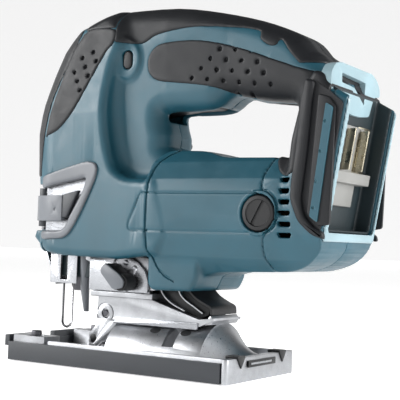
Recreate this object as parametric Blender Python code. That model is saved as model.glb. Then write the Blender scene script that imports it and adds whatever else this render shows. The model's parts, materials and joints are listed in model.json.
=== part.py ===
"""Cordless jigsaw with a D-shaped handle, without battery and blade.

Frame: origin at the centre of the sole, +Z up, +X towards the battery mount,
the blade at -X, and y = 0 the plane of symmetry.  All lengths below are in
millimetres and become metres when an object is made.
"""
import math

import bmesh
import bpy
from mathutils import Matrix, Vector

MM = 0.001
GAP = 0.3                     # clearance between pieces that touch
HALF = 0.15                   # half of the gap between the two housing halves

# Shoe
SHOE_FRONT, SHOE_REAR = -78.5, 78.5
SHOE_HALF = 38.5
TILT_Z = 2.0                  # height of the tilt axis
RIDGE_R = 27.0                # outside of the half-round tilt ridge
# Gear train
MOTOR_Z = 91.0
MODULE = 1.25
PINION_TEETH = 8
GEAR_TEETH = 34
GEAR_Z = MOTOR_Z + MODULE * (PINION_TEETH + GEAR_TEETH) / 2
CRANK_R = 13.0                # half of the 26 mm stroke
PIN_Z = GEAR_Z + CRANK_R
PLUNGER_X = -52.0
PLUNGER_R = 4.5
# Body
WALL = 2.6
HEAD_HALF = 30.0
HANDLE_HALF = 18.4
BARREL_R = 33.0
MOUNT_HALF = 33.4
MOUNT_LEAN = 0.168            # the battery mount leans back towards its top
BRUSH_X, BRUSH_Z = 91.1, 91.4
NECK_HALF = 17.0              # gear case neck
FOOT_HALF = 15.5              # foot on the tilt ridge, clears the shoe at 45 degrees
ARM_HALF = 7.0                # roller arm
# Joints
TRIGGER_PIVOT = (44.0, 158.0)
OPENER_PIVOT = (-68.0, -19.0)
SELECTOR_PIVOT = (-1.0, 50.2)
ARM_PIVOT = (-20.0, 30.0)
ROLLER_AXLE = (-36.0, 12.5)

COLOURS = {
    "teal": ((0.10, 0.28, 0.36), 0.0, 0.42),
    "teal_grey": ((0.22, 0.34, 0.40), 0.0, 0.45),
    "rubber": ((0.025, 0.028, 0.030), 0.0, 0.80),
    "black_plastic": ((0.02, 0.02, 0.022), 0.0, 0.50),
    "pale_plastic": ((0.62, 0.63, 0.63), 0.0, 0.50),
    "aluminium": ((0.72, 0.73, 0.74), 1.0, 0.38),
    "steel": ((0.60, 0.60, 0.61), 1.0, 0.28),
    "dark_steel": ((0.10, 0.10, 0.105), 1.0, 0.45),
    "brass": ((0.78, 0.62, 0.30), 1.0, 0.32),
    "copper": ((0.72, 0.38, 0.22), 1.0, 0.40),
    "carbon": ((0.03, 0.03, 0.03), 0.0, 0.70),
}


# ---------------------------------------------------------------- helpers
def clear_scene():
    for old in list(bpy.data.objects):
        bpy.data.objects.remove(old, do_unlink=True)


def material(name, colour):
    rgb, metallic, roughness = COLOURS[colour]
    made = bpy.data.materials.new(name)
    made.use_nodes = True
    shader = made.node_tree.nodes["Principled BSDF"]
    shader.inputs["Base Color"].default_value = (*rgb, 1.0)
    shader.inputs["Metallic"].default_value = metallic
    shader.inputs["Roughness"].default_value = roughness
    made.diffuse_color = (*rgb, 1.0)
    return made


def add_mesh(bm, name):
    """Turn a bmesh in millimetres into an object in metres."""
    bmesh.ops.scale(bm, vec=(MM, MM, MM), verts=bm.verts)
    bmesh.ops.recalc_face_normals(bm, faces=bm.faces)
    mesh = bpy.data.meshes.new(name)
    bm.to_mesh(mesh)
    bm.free()
    made = bpy.data.objects.new(name, mesh)
    bpy.context.scene.collection.objects.link(made)
    return made


def layered(layers, place, name="shape"):
    """Closed solid through outlines with equal point counts.

    layers is a list of (level, outline); place(u, v, level) gives the point.
    """
    bm = bmesh.new()
    rings = []
    for level, outline in layers:
        rings.append([bm.verts.new(place(u, v, level)) for u, v in outline])
    count = len(rings[0])
    for low, high in zip(rings, rings[1:]):
        for i in range(count):
            j = (i + 1) % count
            bm.faces.new((low[i], low[j], high[j], high[i]))
    bm.faces.new(rings[0])
    bm.faces.new(rings[-1])
    return add_mesh(bm, name)


def side_point(u, v, level):
    return (u, level, v)


def front_point(u, v, level):
    return (level, u, v)


def plan_point(u, v, level):
    return (u, v, level)


def side_prism(outline, y0, y1):
    """Outline in x, z, extruded from y0 to y1."""
    return layered([(y0, outline), (y1, outline)], side_point)


def front_prism(outline, x0, x1):
    """Outline in y, z, extruded from x0 to x1."""
    return layered([(x0, outline), (x1, outline)], front_point)


def plan_prism(outline, z0, z1):
    """Outline in x, y, extruded from z0 to z1."""
    return layered([(z0, outline), (z1, outline)], plan_point)


def box(x0, x1, y0, y1, z0, z1):
    return plan_prism([(x0, y0), (x1, y0), (x1, y1), (x0, y1)], z0, z1)


def circle(u, v, radius, count=24, start=0.0, sweep=360.0):
    """Points on a circle, or on an arc when sweep is under 360 degrees."""
    steps = count if sweep >= 360.0 else count - 1
    points = []
    for i in range(count):
        angle = math.radians(start + sweep * i / steps)
        points.append((u + radius * math.cos(angle), v + radius * math.sin(angle)))
    return points


def rod_x(y, z, radius, x0, x1, count=24):
    return front_prism(circle(y, z, radius, count), x0, x1)


def rod_y(x, z, radius, y0, y1, count=24):
    return side_prism(circle(x, z, radius, count), y0, y1)


def rod_z(x, y, radius, z0, z1, count=24):
    return plan_prism(circle(x, y, radius, count), z0, z1)


def inset(outline, distance):
    """Move each edge of a closed outline inwards by distance."""
    area = 0.0
    count = len(outline)
    for (x0, y0), (x1, y1) in zip(outline, outline[1:] + outline[:1]):
        area += x0 * y1 - x1 * y0
    turn = 1.0 if area > 0 else -1.0
    result = []
    for i in range(count):
        before = Vector(outline[i - 1])
        here = Vector(outline[i])
        after = Vector(outline[(i + 1) % count])
        first = (here - before).normalized()
        second = (after - here).normalized()
        normal_a = Vector((-first.y, first.x)) * turn
        normal_b = Vector((-second.y, second.x)) * turn
        mitre = normal_a + normal_b
        scale = max(mitre.length_squared / 2.0, 0.45)
        point = here + mitre * (distance / scale)
        result.append((point.x, point.y))
    return result


def rounded(outline, radius, steps=3):
    """Replace each corner of an outline with a short arc-like curve."""
    result = []
    count = len(outline)
    for i in range(count):
        here = Vector(outline[i])
        before = Vector(outline[i - 1]) - here
        after = Vector(outline[(i + 1) % count]) - here
        reach = min(radius, before.length * 0.45, after.length * 0.45)
        start = here + before.normalized() * reach
        end = here + after.normalized() * reach
        for k in range(steps + 1):
            t = k / steps
            point = start.lerp(here, t).lerp(here.lerp(end, t), t)
            result.append((point.x, point.y))
    return result


def bake(target):
    """Replace an object's mesh by its evaluated shape."""
    graph = bpy.context.evaluated_depsgraph_get()
    mesh = bpy.data.meshes.new_from_object(target.evaluated_get(graph))
    target.modifiers.clear()
    target.data = mesh


def combine(target, other, operation):
    """Boolean of target with other, which is used up."""
    step = target.modifiers.new(operation, "BOOLEAN")
    step.operation = operation
    step.solver = "EXACT"
    step.object = other
    bake(target)
    bpy.data.objects.remove(other, do_unlink=True)
    return target


def cut(target, *tools):
    for tool in tools:
        combine(target, tool, "DIFFERENCE")
    return target


def join(target, *others):
    for other in others:
        combine(target, other, "UNION")
    return target


def mirrored(source, name):
    """Copy of an object on the other side of the y = 0 plane."""
    bm = bmesh.new()
    bm.from_mesh(source.data)
    bmesh.ops.scale(bm, vec=(1, -1, 1), verts=bm.verts)
    bmesh.ops.reverse_faces(bm, faces=bm.faces)
    mesh = bpy.data.meshes.new(name)
    bm.to_mesh(mesh)
    bm.free()
    made = bpy.data.objects.new(name, mesh)
    bpy.context.scene.collection.objects.link(made)
    return made


def finish(target, name, colour, pivot=(0.0, 0.0, 0.0)):
    """Name the piece, give it its material and put its origin at pivot."""
    target.name = name
    target.data.name = name
    target.data.materials.clear()
    target.data.materials.append(material(name, colour))
    for face in target.data.polygons:
        face.material_index = 0
    point = Vector(pivot) * MM
    target.data.transform(Matrix.Translation(-point))
    target.location = point
    target.data.shade_smooth()
    target.data.set_sharp_from_angle(angle=math.radians(32))
    return target


def pair(source, name, colour, pivot=(0.0, 0.0, 0.0)):
    """Finish a right-hand piece and its mirror image on the left."""
    twin = mirrored(source, name + "_left")
    x, y, z = pivot
    finish(source, name + "_right", colour, pivot)
    finish(twin, name + "_left", colour, (x, -y, z))


def rim_x(z):
    """x of the battery mount's rim plane at height z."""
    return 132.8 + MOUNT_LEAN * (z - 96.0)


# ---------------------------------------------------------------- outlines
TOP_LINE = [(-14.5, 212.6), (21.5, 211.4), (50.0, 206.5), (76.7, 199.5), (95.9, 192.2),
            (105.3, 187.0), (111.6, 179.9), (117.0, 175.7)]
HORN_LINE = [(-77.5, 120.0), (-78.6, 139.0), (-75.4, 157.0), (-69.5, 173.0), (-62.2, 190.0),
             (-53.0, 202.0), (-37.5, 209.0), (-22.0, 211.8)]
HAND_HOLE = [(100.4, 122.0), (101.2, 131.8), (103.0, 149.6), (95.6, 153.7), (73.7, 155.8),
             (62.1, 157.0), (51.2, 151.2), (38.0, 150.0), (19.0, 150.0), (17.2, 145.5),
             (19.7, 136.7), (21.5, 127.9)]
GRIP_EDGE = [(104.5, 172.0), (94.0, 185.5), (87.0, 183.0), (80.5, 187.5), (77.0, 192.0),
             (53.9, 196.3), (33.7, 197.4), (12.9, 195.0), (2.3, 190.5), (-19.2, 192.7)]
SIDE_PAD = [(6.3, 180.9), (8.9, 186.0), (18.0, 189.4), (42.0, 189.6), (64.0, 184.6), (84.0, 177.6),
            (97.6, 171.9), (80.0, 166.0), (66.3, 159.4), (53.2, 162.4), (39.8, 164.6), (23.9, 166.6),
            (13.0, 168.8), (8.1, 172.0)]
FRONT_PAD = [(-62.0, 134.8), (-50.0, 137.6), (-48.0, 146.5), (-38.5, 149.5), (-17.0, 190.6),
             (-28.0, 190.0), (-42.0, 170.0), (-58.0, 150.0)]
BUMPER = [(112.6, 150.3), (111.3, 119.1), (110.1, 103.6), (114.1, 88.1), (122.0, 80.5),
          (129.2, 77.0), (rim_x(96.0) - 0.6, 96.0), (rim_x(161.0) - 0.6, 161.0), (121.3, 162.9)]
OVAL = [(x - 7.0, z + 181.5) for x, z in
        circle(0, 2.3, 3.1, 7, 0, 180) + circle(0, -2.3, 3.1, 7, 180, 180)]


def handle_outline():
    """Handle, front horn and rear column as one closed outline."""
    lowered = [(x, z - 2.4) for x, z in TOP_LINE]
    rear = [(122.0, 166.0), (127.0, 140.0), (121.0, 100.0), (113.0, 84.0), (100.0, 84.0)]
    front = [(19.0, 100.0), (-70.0, 100.0)]
    return HORN_LINE + [(-20.5, 209.4)] + lowered + rear + HAND_HOLE + front


# ---------------------------------------------------------------- housing
def head_solid(wall, y0):
    """Front housing: narrows towards the nose and rounds off at the side."""
    rear = [(24.0, 67.0), (19.8, 80.0), (18.7, 104.0), (19.8, 118.0)]
    levels = [(y0, -77.0, 152.0, 14.0), (13.0 - wall, -77.0, 152.0, 14.0), (25.0 - wall, -71.0, 149.0, 12.0),
              (HEAD_HALF - wall, -59.0, 141.0, 8.0)]
    layers = []
    for y, nose, top, tail in levels:
        outline = rear + [(tail + 7.0, 128.0), (tail, top - 8.0), (tail - 12.0, top), (nose + 12.0, top),
                          (nose + 1.0, top - 12.0), (nose, 110.0),
                          (nose + 1.0, 67.0)]
        layers.append((y, inset(outline, wall)))
    return layered(layers, side_point)


def housing_outer():
    body = head_solid(0.0, HALF)
    join(body, side_prism(handle_outline(), HALF, HANDLE_HALF))
    half_disc = circle(HALF, MOTOR_Z, BARREL_R - HALF, 17, -90, 180)
    join(body, front_prism(half_disc, 12.0, 112.0))
    lower_box = [(16.6, 70.0), (17.5, 50.0), (20.5, 46.7), (47.0, 47.4), (51.0, 55.0), (51.0, 75.0)]
    join(body, side_prism(lower_box, HALF, 27.0))
    mount = [(106.0, 104.0), (111.0, 89.0), (121.0, 80.0), (rim_x(76.5), 76.5),
             (rim_x(150.0), 150.0), (rim_x(168.0), 168.0), (126.0, 168.0), (116.0, 155.0)]
    join(body, side_prism(mount, HALF, MOUNT_HALF))
    return body


def bay_solid(half, front=0.0):
    """Space that the battery slides into from above, open at the back and top."""
    bay = [(116.6 + front, 82.0), (150.0, 82.0), (170.0, 190.0), (134.6 + front, 190.0)]
    return side_prism(bay, -half, half)


def hollow_housing(body):
    cut(body, head_solid(WALL, -1.0))
    cut(body, side_prism(inset(handle_outline(), WALL), -1.0, HANDLE_HALF - WALL))
    half_disc = circle(0.0, MOTOR_Z, BARREL_R - WALL, 17, -90, 180)
    cut(body, front_prism([(-1.0, MOTOR_Z - BARREL_R + WALL)] + half_disc
                          + [(-1.0, MOTOR_Z + BARREL_R - WALL)], 20.5, 108.0))
    cut(body, rod_x(0, MOTOR_Z, 23.5, 8.0, 25.0, 28))
    cut(body, box(19.5, 48.0, -1.0, 24.5, 50.0, 80.0))
    return body


def rear_wall():
    """Wall between the inside of the housing and the battery bay."""
    wall = [(rim_x(78.0) - 16.6, 84.0), (rim_x(84.0) - 13.6, 84.0), (rim_x(160.0) - 13.6, 160.0),
            (rim_x(160.0) - 16.6, 160.0)]
    return side_prism(wall, HALF, 30.0)


def make_housings():
    body = hollow_housing(housing_outer())
    cut(body, bay_solid(30.0))
    # Trigger pocket, lock-off hole, opening under the head for the gear case
    pocket = [(-5.5, 175.0), (-5.5, 156.0), (3.0, 145.0), (25.0, 145.0), (52.0, 147.0),
              (52.0, 164.0), (46.0, 175.0)]
    cut(body, side_prism(pocket, -1.0, 8.8))
    cut(body, side_prism(inset(OVAL, -0.5), -1.0, 40.0))
    cut(body, side_prism(inset(FRONT_PAD, -GAP), HANDLE_HALF, 40.0))
    cut(body, box(-64.0, 21.5, -1.0, 26.4, 60.0, 72.0))
    # Brush cap bore and cooling slots
    cut(body, rod_y(BRUSH_X, BRUSH_Z, 10.4, 20.0, 45.0))
    for i in range(6):
        z = 109.0 - 5.8 * i
        cut(body, box(102.5, 108.6, 20.0, 45.0, z - 1.2, z + 1.2))
    left = mirrored(body, "housing_left")
    # The tool opener sits in a window in the left front corner
    cut(left, box(-90.0, -46.0, -40.0, -10.0, 79.0, 107.5))
    cut(left, box(-90.0, -66.0, -14.0, -5.0, 79.0, 107.5))
    for x, z in SCREWS:
        cut(body, rod_y(x, z, 2.9, 8.0, 60.0, 12))
    finish(left, "housing_left", "teal")
    finish(body, "housing_right", "teal")


SCREWS = [(-60.0, 176.0), (-24.0, 203.0), (110.0, 165.0), (14.0, 133.0)]


def make_screws():
    for i, (x, z) in enumerate(SCREWS):
        head = rod_y(x, z, 2.6, 13.0, 17.0, 12)
        join(head, rod_y(x, z, 1.5, 2.0, 14.0, 12))
        cut(head, box(x - 1.8, x + 1.8, 16.0, 18.0, z - 0.4, z + 0.4))
        finish(head, f"housing_screw_{i + 1}", "dark_steel", (x, 15.0, z))


def make_soft_covers():
    # Black band over the top of the handle, one piece on each half
    band = [(-19.2, 212.2)] + TOP_LINE + [(112.5, 172.0)] + GRIP_EDGE
    grip = side_prism(band, HALF, 20.4)
    cut(grip, side_prism(inset(handle_outline(), -GAP), -1.0, HANDLE_HALF + GAP))
    pair(grip, "grip", "rubber")
    pair(side_prism(SIDE_PAD, HANDLE_HALF + GAP, 21.2), "side_pad", "rubber")
    pair(side_prism(FRONT_PAD, HANDLE_HALF + GAP, 21.6), "front_pad", "rubber")
    bumper = layered([(MOUNT_HALF + GAP, BUMPER), (36.2, BUMPER), (37.2, inset(BUMPER, 1.2))], side_point)
    pair(bumper, "bumper", "rubber")


# ---------------------------------------------------------------- battery mount
def make_terminals():
    """Terminal block on the bay's front wall, with its two contact blades."""
    def lean(x, z):
        return (x + MOUNT_LEAN * (z - 96.0), z)

    stem = [lean(119.2, 97.0), lean(123.0, 97.0), lean(123.0, 140.0), lean(119.2, 140.0)]
    bar = [lean(119.2, 109.0), lean(127.0, 109.0), lean(127.0, 115.0), lean(119.2, 115.0)]
    block = side_prism(stem, -14.0, 14.0)
    join(block, side_prism(bar, -24.0, 24.0))
    blade = [lean(123.3, 116.0), lean(128.3, 116.0), lean(128.3, 138.0), lean(123.3, 138.0)]
    finish(block, "terminal_block", "pale_plastic")
    finish(side_prism(blade, 8.0, 9.2), "terminal_positive", "brass")
    finish(side_prism(blade, -9.2, -8.0), "terminal_negative", "brass")


# ---------------------------------------------------------------- motor
def tube_x(radius, bore, x0, x1, count=24):
    return cut(rod_x(0, MOTOR_Z, radius, x0, x1, count), rod_x(0, MOTOR_Z, bore, x0 - 5, x1 + 5, count))


def make_motor():
    axis = (0.0, 0.0, MOTOR_Z)
    finish(tube_x(25.0, 19.5, 22.0, 76.0), "magnet_yoke", "dark_steel")
    finish(tube_x(8.5, 4.1, -12.0, -5.0), "front_bearing", "steel")
    finish(tube_x(8.5, 4.1, 100.5, 107.0), "rear_bearing", "steel")
    shaft = rod_x(0, MOTOR_Z, 4.0, -13.5, 106.5)
    join(shaft, rod_x(0, MOTOR_Z, 2.6, -31.0, -13.0, 12))
    finish(shaft, "armature_shaft", "steel", axis)
    core = tube_x(18.6, 4.3, 24.0, 74.0, 28)
    for i in range(14):
        angle = 2 * math.pi * i / 14
        y, z = 18.6 * math.sin(angle), MOTOR_Z + 18.6 * math.cos(angle)
        cut(core, rod_x(y, z, 1.3, 20.0, 80.0, 6))
    finish(core, "armature_core", "dark_steel", axis)
    finish(tube_x(11.0, 4.3, 84.0, 98.0), "commutator", "copper", axis)
    make_fan(axis)


def make_fan(axis):
    hub = rod_x(0, MOTOR_Z, 8.0, 3.5, 14.0, 26)
    join(hub, rod_x(0, MOTOR_Z, 21.5, 4.1, 6.1, 28))
    for i in range(9):
        angle = math.radians(40 * i)
        blade = []
        for u, v in ((6.5, -0.7), (20.5, -0.7), (20.5, 0.7), (6.5, 0.7)):
            y = u * math.cos(angle) - v * math.sin(angle)
            z = u * math.sin(angle) + v * math.cos(angle)
            blade.append((y, MOTOR_Z + z))
        join(hub, front_prism(blade, 4.9, 13.0))
    cut(hub, rod_x(0, MOTOR_Z, 4.3, 0.0, 20.0))
    finish(hub, "cooling_fan", "black_plastic", axis)


def make_brushes():
    brush = box(BRUSH_X - 3.5, BRUSH_X + 3.5, 11.4, 23.0, BRUSH_Z - 2.6, BRUSH_Z + 2.6)
    pair(brush, "brush", "carbon", (BRUSH_X, 17.0, BRUSH_Z))
    cap = rod_y(BRUSH_X, BRUSH_Z, 10.0, 29.0, 33.6, 28)
    cut(cap, rod_y(BRUSH_X, BRUSH_Z, 8.4, 32.2, 40.0, 28))
    cut(cap, box(BRUSH_X - 6.5, BRUSH_X + 6.5, 30.6, 40.0, BRUSH_Z - 0.9, BRUSH_Z + 0.9))
    pair(cap, "brush_cap", "black_plastic", (BRUSH_X, 31.0, BRUSH_Z))


# ---------------------------------------------------------------- gear train
def gear_outline(teeth, centre_z, phase):
    """Spur gear with straight-sided teeth and generous backlash, in y, z."""
    pitch_r = MODULE * teeth / 2
    root, tip = pitch_r - 1.15 * MODULE, pitch_r + 0.8 * MODULE
    step = 2 * math.pi / teeth
    points = []
    for i in range(teeth):
        for radius, turn in ((root, -0.29), (tip, -0.12), (tip, 0.12), (root, 0.29)):
            angle = step * (i + turn + phase)
            points.append((radius * math.sin(angle), centre_z + radius * math.cos(angle)))
    return points


def make_gears():
    shaft = (0.0, 0.0, MOTOR_Z)
    pinion = front_prism(gear_outline(PINION_TEETH, MOTOR_Z, 0.0), -30.0, -18.0)
    cut(pinion, rod_x(0, MOTOR_Z, 2.9, -40.0, 0.0, 12))
    finish(pinion, "pinion", "steel", shaft)
    gear = front_prism(gear_outline(GEAR_TEETH, GEAR_Z, 0.5), -28.0, -20.0)
    cut(gear, rod_x(0, GEAR_Z, 4.1, -40.0, 0.0, 20))
    finish(gear, "crank_gear", "steel", (0.0, 0.0, GEAR_Z))
    finish(rod_x(0, PIN_Z, 4.0, -33.4, -28.3, 20), "crank_pin", "steel", (0.0, 0.0, GEAR_Z))
    finish(rod_x(0, GEAR_Z, 4.0, -27.0, -5.3, 20), "gear_axle", "steel")


def make_plunger():
    pivot = (PLUNGER_X, 0.0, PIN_Z)
    finish(rod_z(PLUNGER_X, 0, PLUNGER_R, 65.0, 156.0), "plunger_rod", "steel", pivot)
    yoke = box(-45.8, -34.0, -21.5, 21.5, PIN_Z - 8.0, PIN_Z + 8.0)
    cut(yoke, box(-60.0, -20.0, -18.0, 18.0, PIN_Z - 4.4, PIN_Z + 4.4))
    collar = rod_z(PLUNGER_X, 0, 7.6, PIN_Z - 8.0, PIN_Z + 8.0)
    join(yoke, collar)
    cut(yoke, rod_z(PLUNGER_X, 0, PLUNGER_R + GAP, 100.0, 160.0))
    finish(yoke, "crosshead", "steel", pivot)
    clamp = rod_z(PLUNGER_X, 0, 5.2, 42.4, 64.7)
    join(clamp, rod_z(PLUNGER_X, 0, 5.8, 58.0, 62.0))
    cut(clamp, box(PLUNGER_X - 3.9, PLUNGER_X + 3.9, -0.8, 0.8, 40.0, 56.0))
    finish(clamp, "blade_clamp", "steel", pivot)
    for name, z0, z1 in (("plunger_bush_lower", 67.8, 80.0), ("plunger_bush_upper", 142.6, 152.5)):
        bush = rod_z(PLUNGER_X, 0, 7.2, z0, z1)
        cut(bush, rod_z(PLUNGER_X, 0, PLUNGER_R + 0.1, z0 - 5, z1 + 5))
        finish(bush, name, "brass", (PLUNGER_X, 0.0, z0))


def make_gear_housing():
    """Aluminium gear case with the neck and foot that carry the shoe."""
    profile = [(-25.5, 67.4), (25.5, 67.4), (25.5, 135.0), (24.0, 142.0), (22.0, 144.0), (-22.0, 144.0),
               (-24.0, 142.0), (-25.5, 135.0)]
    case = front_prism(profile, -47.0, -2.0)
    join(case, box(-62.5, -40.0, -11.0, 11.0, 67.4, 153.0))
    neck = [(-31.0, 70.0), (-31.0, 46.0), (-27.0, 41.0), (15.6, 41.0), (15.6, 64.0), (-4.0, 66.0),
            (-4.0, 70.0)]
    join(case, side_prism(neck, -NECK_HALF, NECK_HALF))
    foot = [(-26.0, 43.0), (-27.0, 27.2), (46.0, 27.2), (55.0, 31.0), (55.0, 36.0), (48.0, 39.5),
            (20.0, 40.0), (14.0, 43.0)]
    join(case, side_prism(foot, -FOOT_HALF, FOOT_HALF))
    cut(case, rod_x(0, GEAR_Z, 23.6, -34.0, -17.0, 28))
    cut(case, box(-46.4, -33.4, -22.6, 22.6, 94.0, 141.0))
    cut(case, box(-60.4, -43.6, -8.4, 8.4, 82.0, 141.0))
    cut(case, rod_z(PLUNGER_X, 0, 7.5, 60.0, 84.0))
    cut(case, rod_z(PLUNGER_X, 0, 7.5, 139.0, 160.0))
    cut(case, rod_x(0, MOTOR_Z, 7.4, -36.0, -14.0))
    cut(case, rod_x(0, MOTOR_Z, 8.8, -12.3, 5.0))
    cut(case, rod_x(0, MOTOR_Z, 5.0, -20.0, 5.0))
    cut(case, rod_x(0, GEAR_Z, 4.3, -20.0, -5.0, 20))
    cut(case, box(-24.0, 30.0, -13.6, 13.6, 43.5, 63.0))
    cut(case, rod_x(0, TILT_Z, RIDGE_R + GAP, -60.0, 70.0, 64))
    cut(case, rod_y(SELECTOR_PIVOT[0], SELECTOR_PIVOT[1], 3.3, -40.0, 0.0))
    cut(case, rod_z(TILT_BOLT_X, 0, 3.3, 10.0, 39.0, 16))
    slot = ARM_HALF + 0.6
    cut(case, box(-45.0, ARM_PIVOT[0] + 5.7, -slot, slot, 10.0, 36.4))
    cut(case, rod_y(ARM_PIVOT[0], ARM_PIVOT[1], 2.5, -40.0, 40.0, 16))
    finish(case, "gear_housing", "aluminium")


# ---------------------------------------------------------------- nose details
TILT_BOLT_X = 30.0


def make_nose():
    plate = [(-30.6, 66.5), (-30.6, 44.8), (7.0, 44.8), (7.0, 55.5), (3.5, 60.5), (-2.0, 63.2), (-6.0, 66.5)]
    sheet = side_prism(plate, -19.2, -17.3)
    cut(sheet, rod_y(SELECTOR_PIVOT[0], SELECTOR_PIVOT[1], 3.3, -30.0, 0.0))
    finish(sheet, "selector_plate", "aluminium")
    # U-shaped finger guard of bent wire in front of the blade
    path = [(y, z) for y, z in [(-4.5, 63.0), (-4.5, 22.0), (-3.2, 19.6), (0.0, 18.6), (3.2, 19.6),
                                (4.5, 22.0), (4.5, 63.0)]]
    curve = bpy.data.curves.new("wire_guard", "CURVE")
    curve.dimensions = "3D"
    curve.bevel_depth = 0.8 * MM
    curve.bevel_resolution = 1
    curve.use_fill_caps = True
    curve.resolution_u = 1
    curve.render_resolution_u = 0
    line = curve.splines.new("POLY")
    line.points.add(len(path) - 1)
    for point, (y, z) in zip(line.points, path):
        point.co = (-62.4 * MM, y * MM, z * MM, 1.0)
    wire = bpy.data.objects.new("wire_guard", curve)
    bpy.context.scene.collection.objects.link(wire)
    curve.materials.append(material("wire_guard", "steel"))
    deflector = [(-74.6, 66.3), (-65.4, 45.6), (-64.3, 46.1), (-73.4, 66.6)]
    finish(side_prism(deflector, -9.5, 9.5), "front_deflector", "steel")
    # Blower nozzle that clears chips from the cut line
    nozzle = layered([(66.0, circle(-40.0, -12.0, 3.4, 12)), (44.0, circle(-42.0, -9.0, 2.8, 12)),
                      (30.0, circle(-41.0, -8.0, 1.6, 12))], plan_point)
    finish(nozzle, "blower_nozzle", "teal_grey")
    # Bezel around the opener window
    bezel = rounded([(-62.0, 108.0), (-28.4, 120.0), (-21.4, 115.7), (-22.3, 103.8), (-37.9, 80.9),
                     (-47.6, 73.4), (-62.5, 73.4)], 4.0)
    ring = side_prism(bezel, -31.6, -30.3)
    cut(ring, side_prism(inset(bezel, 3.0), -40.0, -20.0))
    # Open towards the blade, where the opener swings out
    cut(ring, box(-70.0, -57.0, -40.0, -20.0, 78.5, 106.0))
    finish(ring, "opener_bezel", "teal_grey")
    finish(rod_z(OPENER_PIVOT[0], OPENER_PIVOT[1], 1.7, 79.5, 107.0, 16), "opener_pin", "steel")


def make_opener():
    px, py = OPENER_PIVOT
    lever = rod_z(px, py, 4.2, 81.0, 105.5)
    join(lever, plan_prism([(px - 1.0, -24.2), (px - 1.0, -21.0), (px + 19.0, -26.4), (px + 19.0, -29.4),
                            (px + 8.0, -28.4)], 83.0, 103.5))
    join(lever, plan_prism([(px - 4.0, py + 1.0), (px + 1.0, py + 1.0), (px - 2.6, -12.5), (px - 6.6, -12.5)],
                           83.0, 103.5))
    cut(lever, rod_z(px, py, 1.8, 70.0, 120.0, 16))
    finish(lever, "tool_opener", "teal_grey", (px, py, 0.0))


def make_selector():
    x, z = SELECTOR_PIVOT
    lever = rod_y(x, z, 4.4, -31.0, -19.6)
    join(lever, rod_y(x, z, 3.0, -20.0, -6.0))
    arm = [(x - 3.0, z + 3.2), (x - 11.5, z + 10.9), (x - 13.4, z + 9.0), (x - 13.0, z + 6.4), (x - 3.6, z - 2.4)]
    join(lever, side_prism(arm, -26.5, -19.6))
    finish(lever, "orbit_selector", "black_plastic", (x, 0.0, z))


def make_roller():
    px, pz = ARM_PIVOT
    rx, rz = ROLLER_AXLE
    pivot = (px, 0.0, pz)
    arm = side_prism([(px + 4.0, pz + 3.0), (px - 4.0, pz + 3.5), (rx - 3.0, rz + 4.0), (rx - 2.6, rz - 3.4),
                      (rx + 3.0, rz - 3.4), (px + 4.0, pz - 5.0)], -ARM_HALF, ARM_HALF)
    cut(arm, box(rx - 10.0, px - 7.0, -4.7, 4.7, 0.0, 40.0))
    cut(arm, rod_y(rx, rz, 1.7, -20.0, 20.0, 16))
    cut(arm, rod_y(px, pz, 2.5, -20.0, 20.0, 16))
    finish(arm, "roller_arm", "dark_steel", pivot)
    finish(rod_y(px, pz, 2.1, -15.3, 15.3, 16), "arm_pivot_pin", "steel")
    roller = rod_y(rx, rz, 5.0, -4.3, 4.3)
    cut(roller, rod_y(rx, rz, 1.6, -20.0, 20.0, 16))
    finish(roller, "roller", "steel", (rx, 0.0, rz))
    finish(rod_y(rx, rz, 1.4, -6.8, 6.8, 16), "roller_pin", "steel", (rx, 0.0, rz))


# ---------------------------------------------------------------- controls
def make_controls():
    shape = rounded([(-1.0, 166.5), (-2.4, 158.6), (4.3, 148.8), (14.0, 150.8), (30.0, 152.2), (47.0, 152.4),
                     (48.5, 158.0), (37.0, 164.5), (20.0, 167.0)], 2.5, 2)
    finish(side_prism(shape, -8.2, 8.2), "trigger", "black_plastic",
           (TRIGGER_PIVOT[0], 0.0, TRIGGER_PIVOT[1]))
    finish(side_prism(OVAL, -21.6, 21.6), "lock_off_button", "black_plastic", (-7.0, 0.0, 181.5))
    switch = box(2.0, 40.0, -9.0, 9.0, 178.0, 198.0)
    cut(switch, box(8.0, 20.0, -4.0, 4.0, 170.0, 184.0))
    finish(switch, "switch_body", "black_plastic")


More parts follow.
